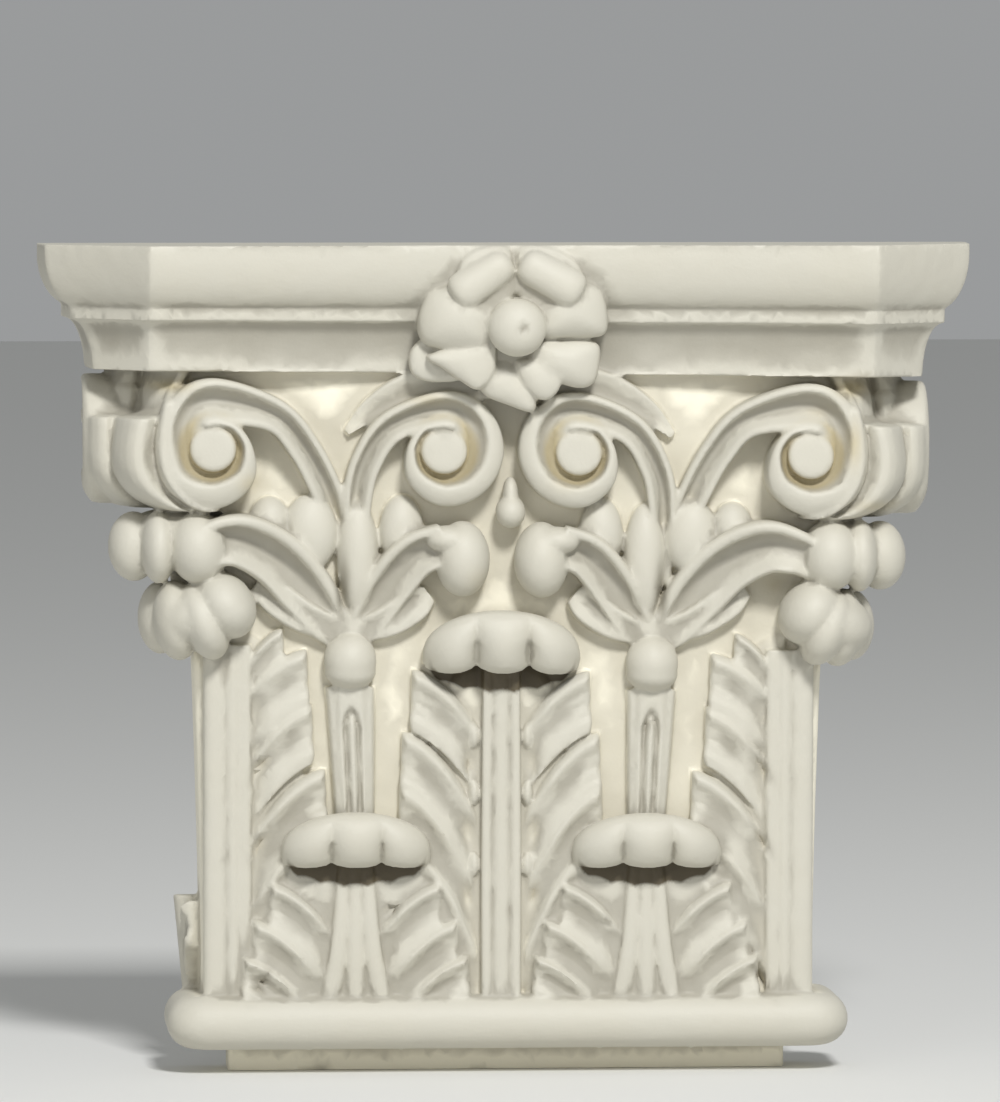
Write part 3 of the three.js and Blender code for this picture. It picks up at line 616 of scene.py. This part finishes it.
def makeCornerLeaf(hand):
    edge = bell["width"] / 2
    place = onFront(hand, 0)
    for inset, width, out in ((7.6, 9, 0), (3.3, 6, 1.2), (7.4, 2.7, 1.4), (10.2, 3.2, 1.2)):
        addBand("roll", place, [(edge - inset, astragalTop - 2, width, 1.8 + out),
                                (edge - inset, leaves["cornerTop"] - 14, width, 2.6 + out)])
    rows = (((-10, 98), (-20.4, 107), 9), ((-11, 93), (-26.2, 102), 14), ((-12, 77), (-27.4, 89), 14.5),
            ((-12, 58), (-30.6, 73.4), 14), ((-12, 42), (-28, 58), 15))
    ground = ((-7, 19), (-12, 22), (-16, 32), (-22, 46), (-26, 62), (-23, 84), (-16, 103), (-7, 108))
    addPlate(place, [(edge + u, z) for u, z in ground], 1.6)
    for foot, tip, cut in rows:
        addLobe(place, (edge + foot[0], foot[1]), (edge + tip[0], tip[1]), cut)
    for z in (83.9, 67.8, 53):
        addBall(place(edge - 11, z, 2), (1.2, 1.5, 3))
    # rolled folds of the tips round the corner: middle, radii, lean in the front plane
    shift = -hand * capital["leafShift"]
    lowerTier = (((75.4 + shift * 0.5, 21.5, 110), (11.6, 14, 8.2), -0.2),
                 ((70.4 + shift * 0.9, 26.5, 112.6), (7, 11.4, 8.6), -0.62),
                 ((75 + shift * 0.6, 26, 108.6), (5.6, 11, 9.6), -0.4), ((80, 22.5, 108.6), (5.8, 10, 9.6), -0.1),
                 ((83.4, 14.5, 108.8), (5.8, 9.4, 8.8), 0), ((80, 4.5, 109), (6.4, 8.4, 8), 0))
    # where the sheath's outer leaf turns over
    upperTier = (((80, 20, 128.8), (10.6, 12, 6.6), 0), ((76 + shift * 0.5, 27.6, 126.2), (7.2, 9.4, 8.8), -0.1),
                 ((84.4, 24.8, 126.2), (4.4, 9.6, 8.8), 0), ((90.2, 18.6, 126), (6.2, 8.4, 8.4), 0),
                 ((84, 8, 127), (8.4, 9.4, 7.4), 0))
    for centre, radii, tilt in lowerTier + upperTier:
        addBall((hand * centre[0], -centre[1], centre[2]), radii, along=(math.cos(tilt), 0, hand * math.sin(tilt)))


def makeSideLeaf(hand):
    place = onSide(hand)
    addBand("roll", place, [(0, astragalTop - 2, 8, 4), (0, leaves["lowerTop"] - 22, 9, 6)])
    addLobe(place, (2, astragalTop + 10), (13, astragalTop + 22), 11)


def makeStalk(hand):
    s = leaves["knobSpread"]
    foot = leaves["lowerTop"] - 8
    top = leaves["knobHeight"] - leaves["knobRadius"] + 0.8
    place = onFront(hand)
    samples = 44
    rings = []
    for i in range(31):
        share = i / 30
        half = 4.6 + 1.5 * share
        middle = s - 1.4 + 1.4 * share
        z = foot + (top - foot) * share
        ring = [place(middle - half, z, -capital["root"])]
        for k in range(samples + 1):
            across = -math.cos(k / samples * math.pi)
            body = (1 - across ** 4) ** 0.5
            gap = 0.27 * min(1, max(0, (0.84 - share) / 0.1)) ** 0.5
            slot = math.exp(-((abs(across) - gap) / 0.12) ** 2) * min(1, max(0, (0.88 - share) / 0.04))
            flute = math.exp(-((abs(across) - 0.66) / 0.13) ** 2)
            out = leaves["stalkRelief"] * body - 2.2 * slot - 0.9 * flute * body
            ring.append(place(middle + half * across, z, out))
        rings.append(ring + [place(middle + half, z, -capital["root"])])
    addLoft(rings)
    addBall(place(s, leaves["knobHeight"] + 0.6, 3), (leaves["knobRadius"] * 0.95, 6.8, 6.6))
    addBall(place(s, leaves["knobHeight"] - 2, 2.8), (leaves["knobRadius"] * 0.93, 6.6, 4.4))


# Across an arching leaf: a soft rim above, the hollow deepest just under it and rising to the lower edge
def bowlSection(row, upper=-1):
    half, crest, deep = row[2] / 2, row[3], row[4]
    points = [(-1, -capital["root"]), (-1, crest - 2.4), (-0.97, crest - 1.1), (-0.9, crest - 0.3), (-0.8, crest),
              (-0.7, crest - 0.1)]
    for k in range(15):
        t = k / 14
        points.append((-0.6 + 1.44 * t, crest - 0.3 - 0.3 * t - deep * math.sin(math.pi * t ** 0.62) ** 1.1))
    points += [(0.93, crest - 1.2), (0.99, crest - 2.4), (1, -capital["root"])]
    return [(-upper * half * across, level) for across, level in points]


def makeSheath(hand):
    place = onFront(hand)
    base = leaves["knobHeight"] + leaves["knobRadius"]
    s = leaves["knobSpread"]
    # upright lobes behind
    for u, z, out, halfWidth, halfHeight in ((19.4, 26, 1.2, 5.2, 7.2), (9.6, 24.4, 1.8, 6.6, 9.4),
                                             (-1.8, 19, 1.8, 5, 13.6), (-12.4, 25, 1.2, 5.4, 9)):
        addBall(place(s + u, base + z, out), (halfWidth, 5, halfHeight))
    # outer leaf, arching out to the corner, and inner leaf, arching in to a bulb
    outer = ((1.6, -2, 6, 2.6, 0.4), (5, 2.5, 10.6, 4.6, 1.8), (11, 10.8, 13.8, 6.4, 3.6), (18, 18.2, 14, 8.8, 4.8),
             (26.5, 22.4, 13, 11.6, 4.8), (34, 21.4, 11, 12.6, 3.2), (39.5, 18.6, 9, 10.4, 1.6))
    inner = ((-1.6, -2, 6, 2.6, 0.4), (-4.4, 3.4, 9.6, 4.6, 1.8), (-9.4, 12, 11.4, 6.6, 3.4),
             (-15.4, 19.2, 11, 9, 4.2), (-22.8, 22.4, 10, 10.6, 3.2))
    for stations, upper, steps in ((outer, -1, 90), (inner, 1, 70)):
        stations = [(s + u, base + z, *rest) for u, z, *rest in stations]
        addSweep(place, stations, lambda row: bowlSection(row, upper), steps)
    addBall(place(s - 26.9, base + 18.6, 4.4), (6.6, 8.4, 9.2))
    addBall(place(s - 23.4, base + 23.4, 6.4), (5.6, 5.4, 3.4))
    # cup at the knob, and a leaflet under each arch
    addBall(place(s, base + 2, 0), (7, 4.2, 6))
    for side, reach, rise in ((1, 22.5, 12.2), (-1, 19, 10)):
        leaflet = ((3, 1, 6, 3.6, 0.3), (reach * 0.5, rise * 0.34, 8, 4.6, 0.9),
                   (reach * 0.82, rise * 0.74, 8.4, 5, 1.2), (reach, rise, 5, 4, 0.4))
        stations = [(s + side * u, base + z, *rest) for u, z, *rest in leaflet]
        addSweep(place, stations, lambda row: bowlSection(row, -side), 40)
    addBand("channel", onSide(hand), [(-9, base + 12, 9, 6), (2, base + 19, 10, 7), (10, base + 20, 9, 8)])


def makeDropAndStems():
    s = leaves["knobSpread"]
    place = onFront(1, 0)
    addBall(place(0, eyeHeight - 14.6, 4.4), (3.6, 5, 4))
    addBall(place(0, eyeHeight - 10.5, 3.6), (1.9, 3.6, 4.4))
    stations = ((s + 3, 4, 2, 2.4, 0.2), (s - 3, 9.4, 6, 3.4, 0.8), (s - 11, 13.6, 9, 4.6, 1.2), (17, 16, 9, 6, 1.2),
                (4, 16.5, 8, 7, 0.8))
    for hand in hands:
        addSweep(onFront(hand, 0), [(u, eyeHeight + z, *rest) for u, z, *rest in stations], bowlSection, 50)


flower = {
    "drop": 19.6,
    "boss": 7,
    "bossHeight": 0.8,  # share of its radius
    "petalSetback": 7.6,
    "rollRise": 1.4,
}

# The flower. Each petal is a cushion over an outline about the boss: outline, height over the plane of the petals,
# bulge, and how much it sinks or rises towards its end
petals = (
    (((-10, 0), (-7, 7), (0, 10), (7, 7), (10, 0), (7, -8), (0, -11), (-7, -8)), -3.4, 1, 0),
    (((-12, -4), (-20, -2.6), (-24.4, -6), (-24, -11.4), (-19, -13.4), (-11, -12)), -5, 1.4, 0),
    (((-14, 8), (-12.6, 16), (-7, 19.3), (-1, 18.4), (0, 8), (-5, 4)), 1.2, 1, 0),
    (((0, 8), (1, 18.6), (8, 19.3), (15, 15.6), (17, 9), (8, 4)), 0.8, 1, 0),
    (((-9.4, -10), (-7, -16), (-1.4, -18.6), (4.6, -20.3), (5.4, -17), (2.4, -12), (-2, -8)), -3, 2, 0),
    (((1, -8), (1.8, -12.6), (5.4, -16.8), (9, -16.9), (11.4, -13), (8, -7)), -1.4, 1.8, 0),
    (((4, -4), (12, -3), (20, -3.6), (20.8, -8.4), (19.4, -13.2), (15.4, -14.4), (9, -12.4), (4, -9)), -1, 3, -0.08),
    (((-4, -4), (-10, -3.4), (-15, -5), (-20.8, -7.2), (-17.2, -9.8), (-12.8, -12.8), (-8.4, -15), (-4.6, -11)),
     -0.4, 1.6, 0),
    (((4, 4), (10, 9), (17, 12), (21, 9), (22.6, 3), (21.6, -1.8), (14, -2.4), (6, -2.2)), 0, 4.2, -0.08),
    (((-3, 3), (-8, 9), (-15, 11), (-20.4, 8), (-22.8, 1.6), (-21.2, -4), (-14, -5.8), (-6, -4.6)), -0.4, 5, -0.06),
)
# the two that are rolled up: middle, turn in degrees, half length, radius at either end
rolls = (((-7.8, 11.6), 34, 8.4, 5, 4), ((8.8, 11.8), -29, 8.6, 4.4, 5))


def makeFlower():
    centreZ = capital["height"] - flower["drop"]
    back = abacus["depth"] - abacus["hollow"] - abacus["ovoloProjection"]
    front = capital["depth"] - flower["petalSetback"]
    for outline, height, bulge, slope in petals:
        closed = smoothStations(outline[-1:] + outline + outline[:1], 8 * (len(outline) + 1))[8:-1]
        middle = closed.mean(0)
        rings = [[(x, -back, centreZ + z) for x, z in closed]]
        for inset in (0, 0.03, 0.08, 0.16, 0.28, 0.45, 0.65, 0.85):
            swell = bulge * (1 - (1 - inset) ** 2) ** 0.8 - 1.2 * (1 - min(inset / 0.08, 1)) ** 2
            inner = closed + (middle - closed) * inset
            rings.append([(x, -(front + height + swell + slope * math.hypot(x, z)), centreZ + z) for x, z in inner])
        addLoft(rings)
    for (x, z), degrees, half, start, end in rolls:
        c, s = math.cos(math.radians(degrees)), math.sin(math.radians(degrees))
        rings = []
        for i in range(25):
            t = 0.998 * (i / 12 - 1)
            radius = (start + (end - start) * (t + 1) / 2) * (1 - t ** 6) ** 0.5
            ring = []
            for k in range(28):
                turn = 2 * math.pi * k / 28
                up = radius * math.cos(turn)
                out = front + flower["rollRise"] + radius * 0.9 * math.sin(turn)
                along = half * t
                ring.append((x + along * c - up * s, -out, centreZ + z + along * s + up * c))
            rings.append(ring)
        addLoft(rings)
    radius = flower["boss"]
    bossDepth = radius * flower["bossHeight"]
    addBall((0.6, -(capital["depth"] - bossDepth), centreZ), (radius, bossDepth, radius))


casting = {
    "voxel": 0.45,
    "unevenness": 0.012,
    "seed": 4,
    "smoothing": 2,
    "triangles": 148000,
    "longestEdge": 5.5,
    "shadedEdge": 0.9,
    "foldAngle": 1.9,  # radians between two faces that lie folded over
    "sharpAngle": 55,  # degrees
}

# places pressed into the front: x, z, half width, half height, depth, lean
pits = [(1.9, 180.2, 1, 1, 1.6, 0), (-28.1, 39.6, 0.8, 0.8, 2.6, 0), (33.1, 83.9, 0.8, 0.8, 1.2, 0),
        (23.5, 36.4, 0.8, 0.8, 1.3, 0), (-45, 0.4, 1.6, 1.1, 0.9, 0)]
for pressHand in hands:
    pits += [(pressHand * 7.9 - 2, z, 0.9, 2.4, 1.8, 0) for z in (74.6, 58.6, 43)]
    pits += [(pressHand * 60.6 + 0.8, z, 0.8, 3, 1.8, -0.6 * pressHand) for z in (74, 56.2, 22)]
    pits.append((pressHand * 38.4 - 2, 115.6, 1.1, 6.4, 2.6, 0))

# where painted shadow lies on the leaf under the curled tips: middle, height of the lip, half width, how far out it
# goes
shadedTips = [(capital["leafShift"], leaves["upperTop"] - 15, leaves["upperWidth"] * 0.47, 8)]
for shadedHand in hands:
    shadedTips.append((shadedHand * leaves["lowerSpread"] + capital["leafShift"], leaves["lowerTop"] - 13,
                       leaves["lowerWidth"] * 0.47, 8))

# yellow-brown stains of old sealer: x, z, half width, half height, share
stains = [(82.6, 165.6, 4.4, 2.2, 1), (82, 152, 1.6, 5, 0.7), (74, 160, 4, 1.6, 0.3), (-82, 166.4, 5, 1.4, 0.8),
          (-62.4, 143, 3, 2.4, 0.5), (88, 137, 5, 1.4, 0.5), (-20, 163, 5, 1.5, 0.4), (14, 143, 4, 2, 0.4),
          (64, 118, 2.6, 2, 0.5), (-8, 120, 3, 3, 0.2)]


# The slant is greatest at the sheaths and fades out towards the foot and the top
def sinkAt(x, z):
    share = np.clip(z / capital["height"], 0, 1)
    return capital["slant"] * x * np.sin(math.pi * share ** 1.6)


def settle(points):
    points[:, 2] -= sinkAt(points[:, 0], points[:, 2])
    points[:, 1] = np.minimum(points[:, 1], 0)
    points[:, 2] = np.clip(points[:, 2], 0, capital["height"])
    points[:, 2] -= capital["mountHeight"]
    return points * millimetre


def readPoints(mesh):
    co = readVectors(mesh, "co") / millimetre
    co[:, 2] += capital["mountHeight"]
    return co


def pitShare(co, x, z, halfWidth, halfHeight, lean):
    up = co[:, 2] + sinkAt(x, z) - z
    across = co[:, 0] - x - lean * up
    return np.exp(-(across / halfWidth) ** 2 - (up / halfHeight) ** 2)


def pressPits(mesh):
    co = readPoints(mesh)
    facing = readVectors(mesh, "normal")[:, 1] < -0.15
    for *spot, depth, lean in pits:
        co[:, 1] += facing * depth * pitShare(co, *spot, lean)
    co[:, 2] -= capital["mountHeight"]
    mesh.vertices.foreach_set("co", np.clip(co * millimetre, cadBox[0], cadBox[1]).ravel())
    mesh.update()
    print("pressed", len(pits), "pits")


# Repeated average of each point's neighbours
def averageOver(edges, values, rounds):
    count = len(values)
    a = np.concatenate([edges[:, 0], edges[:, 1]])
    b = np.concatenate([edges[:, 1], edges[:, 0]])
    valence = np.maximum(np.bincount(a, minlength=count), 1)
    for _ in range(rounds):
        values = np.stack([np.bincount(a, values[b, k], count) / valence for k in range(values.shape[1])], 1)
    return values


# Tones held on the points; lengths in millimetres
tones = {
    "proud": 2.2,  # carving this far over the bell has its full tone
    "proudFrom": 0.1,
    "edgeOfBack": 0.6,
    "backRelief": 0.6,
    "hollow": 0.22,  # a place this far under its neighbours takes the full painted shade with dust
    "mostShadeAndDust": 0.66,
    "tintReach": 9.2,  # of the yellow left in the spirals, from the eye
    "shade": 2.3,  # painted shadow under the curled tips
    "lipDrop": 5.6,  # the lip of a curled tip falls this far at its ends
}


def paintTones(mesh):
    co = readPoints(mesh)
    normals = readVectors(mesh, "normal")
    x, y, z = co.T
    sunk = sinkAt(x, z)
    proudFront = -y - bellDepth(z)
    proudSide = abs(x) - bellHalf(z)
    relief = np.clip(np.maximum(proudFront, proudSide) / tones["proud"] - tones["proudFrom"], 0, 1)
    relief[z > abacusBottom + tones["edgeOfBack"]] = 1
    relief[y > -tones["edgeOfBack"]] = tones["backRelief"]
    edges = np.array([tuple(edge.vertices) for edge in mesh.edges])
    # painted shade with dust in the hollows, by how far each point lies under the average of its neighbours
    hollow = ((averageOver(edges, co, 5) - co) * normals).sum(1)
    hollow = averageOver(edges, hollow[:, None], 2)[:, 0]
    paintedShadeAndDust = np.clip(hollow / tones["hollow"], 0, tones["mostShadeAndDust"])
    # the yellow of the spirals
    tint = np.zeros(len(co))
    eyes = ((cornerEye, cornerFront), (volutes["innerEyeOffset"], bellDepth(eyeHeight) + volutes["innerRelief"]))
    for eye, level in [(hand * u, level) for hand in hands for u, level in eyes]:
        away = np.hypot(x - eye, z - (eyeHeight - sinkAt(eye, eyeHeight)))
        under = np.clip((level + y - 0.9) / 2, 0, 1) * (y < -bell["depth"] - 6)
        tint = np.maximum(tint, under * np.clip((tones["tintReach"] - away) / 1.5, 0, 1))
    # painted shadow on the leaf under each curled tip, with a scalloped lower edge
    inFront = np.clip((proudFront + 4) / 2, 0, 1)
    for middle, lip, half, reach in shadedTips:
        across = (x - middle) / half
        edge = lip - tones["lipDrop"] * np.sqrt(np.clip(1 - across ** 2, 0, 1))
        edge += 0.7 * abs(np.cos(3 * math.pi * across))  # of the three lobes
        under = np.clip((z + sunk - edge) / 0.9, 0, 1) * (z < lip + 6) * np.clip((1 - abs(across)) / 0.1, 0, 1)
        paintedShadeAndDust = np.maximum(paintedShadeAndDust, tones["shade"] * inFront * under * np.clip((reach - proudFront) / 1.2, 0, 1))
    for u, level, halfWidth, halfHeight, share in stains:
        spread = np.exp(-((x - u) / halfWidth) ** 2 - ((z - level) / halfHeight) ** 2)
        tint = np.maximum(tint, share * (y < -8) * spread)
    # painted shade with dust inside the pits
    for *spot, _, lean in pits:
        paintedShadeAndDust = np.maximum(paintedShadeAndDust, (normals[:, 1] < 0.2) * pitShare(co, *spot, lean) ** 0.8)
    for name, values in (("relief", relief), ("paintedShadeAndDust", paintedShadeAndDust), ("tint", tint)):
        mesh.attributes.new(name, "FLOAT", "POINT").data.foreach_set("value", values)
    print("painted tones on", len(co), "points")


def fuseShells():
    faces = []
    start = 0
    for points, shellFaces in shells:
        faces += [tuple(v + start for v in face) for face in shellFaces]
        start += len(points)
    mesh = bpy.data.meshes.new("shells")
    mesh.from_pydata(settle(np.vstack([points for points, _ in shells])).tolist(), [], faces)
    blank = addObject("blank", mesh)
    remesh = blank.modifiers.new("fuse", "REMESH")
    remesh.mode = "VOXEL"
    remesh.voxel_size = casting["voxel"] * millimetre
    smooth = blank.modifiers.new("soften", "SMOOTH")
    smooth.factor = 0.5
    smooth.iterations = casting["smoothing"]
    fused = evaluated(blank)
    print("fused", len(shells), "shells into", len(fused.polygons), "faces")
    return fused


# A hair of unevenness keeps the thinning from leaving long slivers on flat faces
def thinMesh(mesh):
    co = readVectors(mesh, "co").ravel()
    co += np.random.default_rng(casting["seed"]).normal(0, casting["unevenness"] * millimetre, len(co))
    mesh.vertices.foreach_set("co", co)
    mesh.update()
    mesh.calc_loop_triangles()
    holder = addObject("holder", mesh)
    thin = holder.modifiers.new("thin", "DECIMATE")
    thin.ratio = casting["triangles"] / len(mesh.loop_triangles)
    thinned = evaluated(holder)
    print("thinned to", len(thinned.polygons), "faces")
    return thinned


def edgeLimit(edge):
    middle = (edge.verts[0].co + edge.verts[1].co) / 2
    x, z = middle.x / millimetre, middle.z / millimetre + capital["mountHeight"]
    # finer edges where the painted shadow under the tips ends
    for u, lip, half, reach in shadedTips:
        if abs(x - u) < half + 2 and -9 < z - lip < 3:
            return casting["shadedEdge"] * millimetre
    return casting["longestEdge"] * millimetre


# Long thin triangles would smear the tones held at their corners
def splitLongEdges(mesh):
    work = bmesh.new()
    work.from_mesh(mesh)
    bmesh.ops.dissolve_degenerate(work, dist=0.01 * millimetre, edges=work.edges)
    for _ in range(4):  # the thinning leaves a few faces folded over their neighbours
        folded = {vert for edge in work.edges if edge.calc_face_angle(0) > casting["foldAngle"] for vert in edge.verts}
        around = {edge.other_vert(vert) for vert in folded for edge in vert.link_edges} | folded
        bmesh.ops.smooth_vert(work, verts=list(around), factor=0.5, use_axis_x=True, use_axis_y=True, use_axis_z=True)
        work.normal_update()
    print("points in folded places, smoothed:", len(folded))
    for _ in range(4):
        tooLong = [edge for edge in work.edges if edge.calc_length() > edgeLimit(edge)]
        bmesh.ops.subdivide_edges(work, edges=tooLong, cuts=1)
        bmesh.ops.triangulate(work, faces=[face for face in work.faces if len(face.verts) > 3])
    work.to_mesh(mesh)
    work.free()
    print("split long edges into", len(mesh.polygons), "faces")


def toLinear(hexColour):
    channels = [int(hexColour[i:i + 2], 16) / 255 for i in (1, 3, 5)]
    return [c / 12.92 if c <= 0.04045 else ((c + 0.055) / 1.055) ** 2.4 for c in channels] + [1]


# Gypsum plaster cast in a rubber mould: matt, chalky and a little warm, with a skin of very fine grain. The ground
# keeps its ivory, the raised carving is cooler and greyer from handling, and yellowed sealer stays in the hollows.
# Painted shade with dust darkens the hollows, and painted shadow lies under the curled tips. Sizes in mm.
plasterLook = {
    "ior": 1.52,
    "roughness": 0.6,
    "ground": "#F3EEDC",
    "carving": "#C4C1B5",
    # painted shade, with some dust, for the hollows, the pits and under the curled tips
    "shadeAndDust": "#544B38",
    "sealer": "#B7A368",
    "grain": 0.9,  # coarser than the real one, which is too fine to show
    "unevenness": 7,  # of the hand-finished mould
    "mottle": 22,
}


def castPlaster():
    material = bpy.data.materials.new("castPlaster")
    material.use_nodes = True
    tree = material.node_tree
    shader = tree.nodes["Principled BSDF"]
    shader.inputs["IOR"].default_value = plasterLook["ior"]
    shader.inputs["Roughness"].default_value = plasterLook["roughness"]
    where = addNode(tree, "ShaderNodeTexCoord", {}, {})["Object"]
    held = {name: addNode(tree, "ShaderNodeAttribute", {"attribute_name": name}, {})["Fac"]
            for name in ("relief", "tint", "paintedShadeAndDust")}
    noise = {}
    for name, detail in (("mottle", 3.0), ("grain", 2.0), ("unevenness", 1.0)):
        links = {"Vector": where, "Scale": 1 / (plasterLook[name] * millimetre), "Detail": detail}
        noise[name] = addNode(tree, "ShaderNodeTexNoise", {}, links)["Fac"]
    # each tone lies over the last one by (mottle * patchy + added) * times; the last is painted shade with dust
    tone = toLinear(plasterLook["ground"])
    for name, patchy, added, times in (("carving", 0.0, held["relief"], 1.0), ("sealer", 0.16, held["tint"], 0.55),
                                       ("shadeAndDust", 0.5, 0.3, held["paintedShadeAndDust"])):
        links = {0: noise["mottle"], 1: patchy, 2: added}
        share = addNode(tree, "ShaderNodeMath", {"operation": "MULTIPLY_ADD"}, links)[0]
        share = addNode(tree, "ShaderNodeMath", {"operation": "MULTIPLY"}, {0: share, 1: times})[0]
        over = toLinear(plasterLook[name])
        tone = addNode(tree, "ShaderNodeMix", {"data_type": "RGBA"}, {0: share, 6: tone, 7: over})[2]
    tree.links.new(tone, shader.inputs["Base Color"])
    facing = {}
    for name, strength, height in (("grain", 0.3, 0.15), ("unevenness", 0.5, 0.5)):
        links = {"Height": noise[name], "Strength": strength, "Distance": height * millimetre, **facing}
        facing = {"Normal": addNode(tree, "ShaderNodeBump", {}, links)[0]}
    tree.links.new(facing["Normal"], shader.inputs["Normal"])
    return material


def main():
    plaster = castPlaster()
    makeBell()
    makeAbacus()
    print("blank:", len(shells), "shells")
    makeMiddleLeaf()
    makeDropAndStems()
    makeFlower()
    makeSideLeaf(-1)
    for hand in hands:
        makeLowerLeaf(hand)
        makeCornerLeaf(hand)
        makeStalk(hand)
        makeSheath(hand)
        makeInnerVolutes(hand)
        makeCornerVolutes(hand)
    print("with the carving:", len(shells), "shells")
    sweepBands(plaster)
    mesh = thinMesh(fuseShells())
    mesh.name = "pilasterCapital"
    piece = addObject("pilasterCapital", mesh)
    mesh.materials.append(plaster)
    mesh.shade_smooth()
    splitLongEdges(mesh)
    pressPits(mesh)
    mesh.set_sharp_from_angle(angle=math.radians(casting["sharpAngle"]))
    paintTones(mesh)
    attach(piece, "root")
    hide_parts("pilaster_capital")


main()


# Floor, lights and camera, in metres and watts
studio = {
    "azimuth": -4,
    "elevation": 3,
    "distance": 2.2,
    "pixelsPerMillimetre": 4.15,
    "aim": (-0.002, -0.02, 0.026),
    "imageHeight": 1102,
    "floorSize": 12,
    "floorColour": "#E2E2DF",
    "floorRoughness": 0.9,
    "skyColour": "#DCDEDF",
    "skyStrength": 0.45,
    # name, place, size, power
    "lamps": (("key", (0.25, -1.6, 1.35), 0.35, 39), ("fill", (-1.3, -1.7, 0.4), 1.4, 6)),
}


def makeStudio():
    scene = bpy.context.scene
    scene.view_settings.view_transform = "Standard"
    bpy.ops.mesh.primitive_plane_add(size=studio["floorSize"], location=(0, 0, -capital["mountHeight"] * millimetre))
    floor = bpy.context.object
    floor.name = "studioFloor"
    card = bpy.data.materials.new("paleCard")  # matt card, so the floor takes a soft shadow and no shine
    card.use_nodes = True
    cardShader = card.node_tree.nodes["Principled BSDF"]
    cardShader.inputs["Base Color"].default_value = toLinear(studio["floorColour"])
    cardShader.inputs["Roughness"].default_value = studio["floorRoughness"]
    floor.data.materials.append(card)
    scene.world = bpy.data.worlds.new("studio")
    scene.world.use_nodes = True
    sky = scene.world.node_tree.nodes["Background"]
    sky.inputs["Color"].default_value = toLinear(studio["skyColour"])
    sky.inputs["Strength"].default_value = studio["skyStrength"]
    for name, place, size, power in studio["lamps"]:
        light = bpy.data.lights.new(name, "AREA")
        light.size = size
        light.energy = power
        lamp = addObject(name, light)
        lamp.location = place
        lamp.rotation_euler = (-Vector(place)).to_track_quat("-Z", "Y").to_euler()
    a = math.radians(studio["azimuth"])
    e = math.radians(studio["elevation"])
    back = Vector((math.sin(a) * math.cos(e), -math.cos(a) * math.cos(e), math.sin(e)))
    camera = addObject("camera", bpy.data.cameras.new("camera"))
    camera.location = Vector(studio["aim"]) + back * studio["distance"]
    camera.rotation_euler = (-back).to_track_quat("-Z", "Y").to_euler()
    focal = studio["pixelsPerMillimetre"] * studio["distance"] / millimetre
    camera.data.lens = focal / studio["imageHeight"] * camera.data.sensor_width
    scene.camera = camera
    print("studio set, with", len(studio["lamps"]), "lamps")


makeStudio()
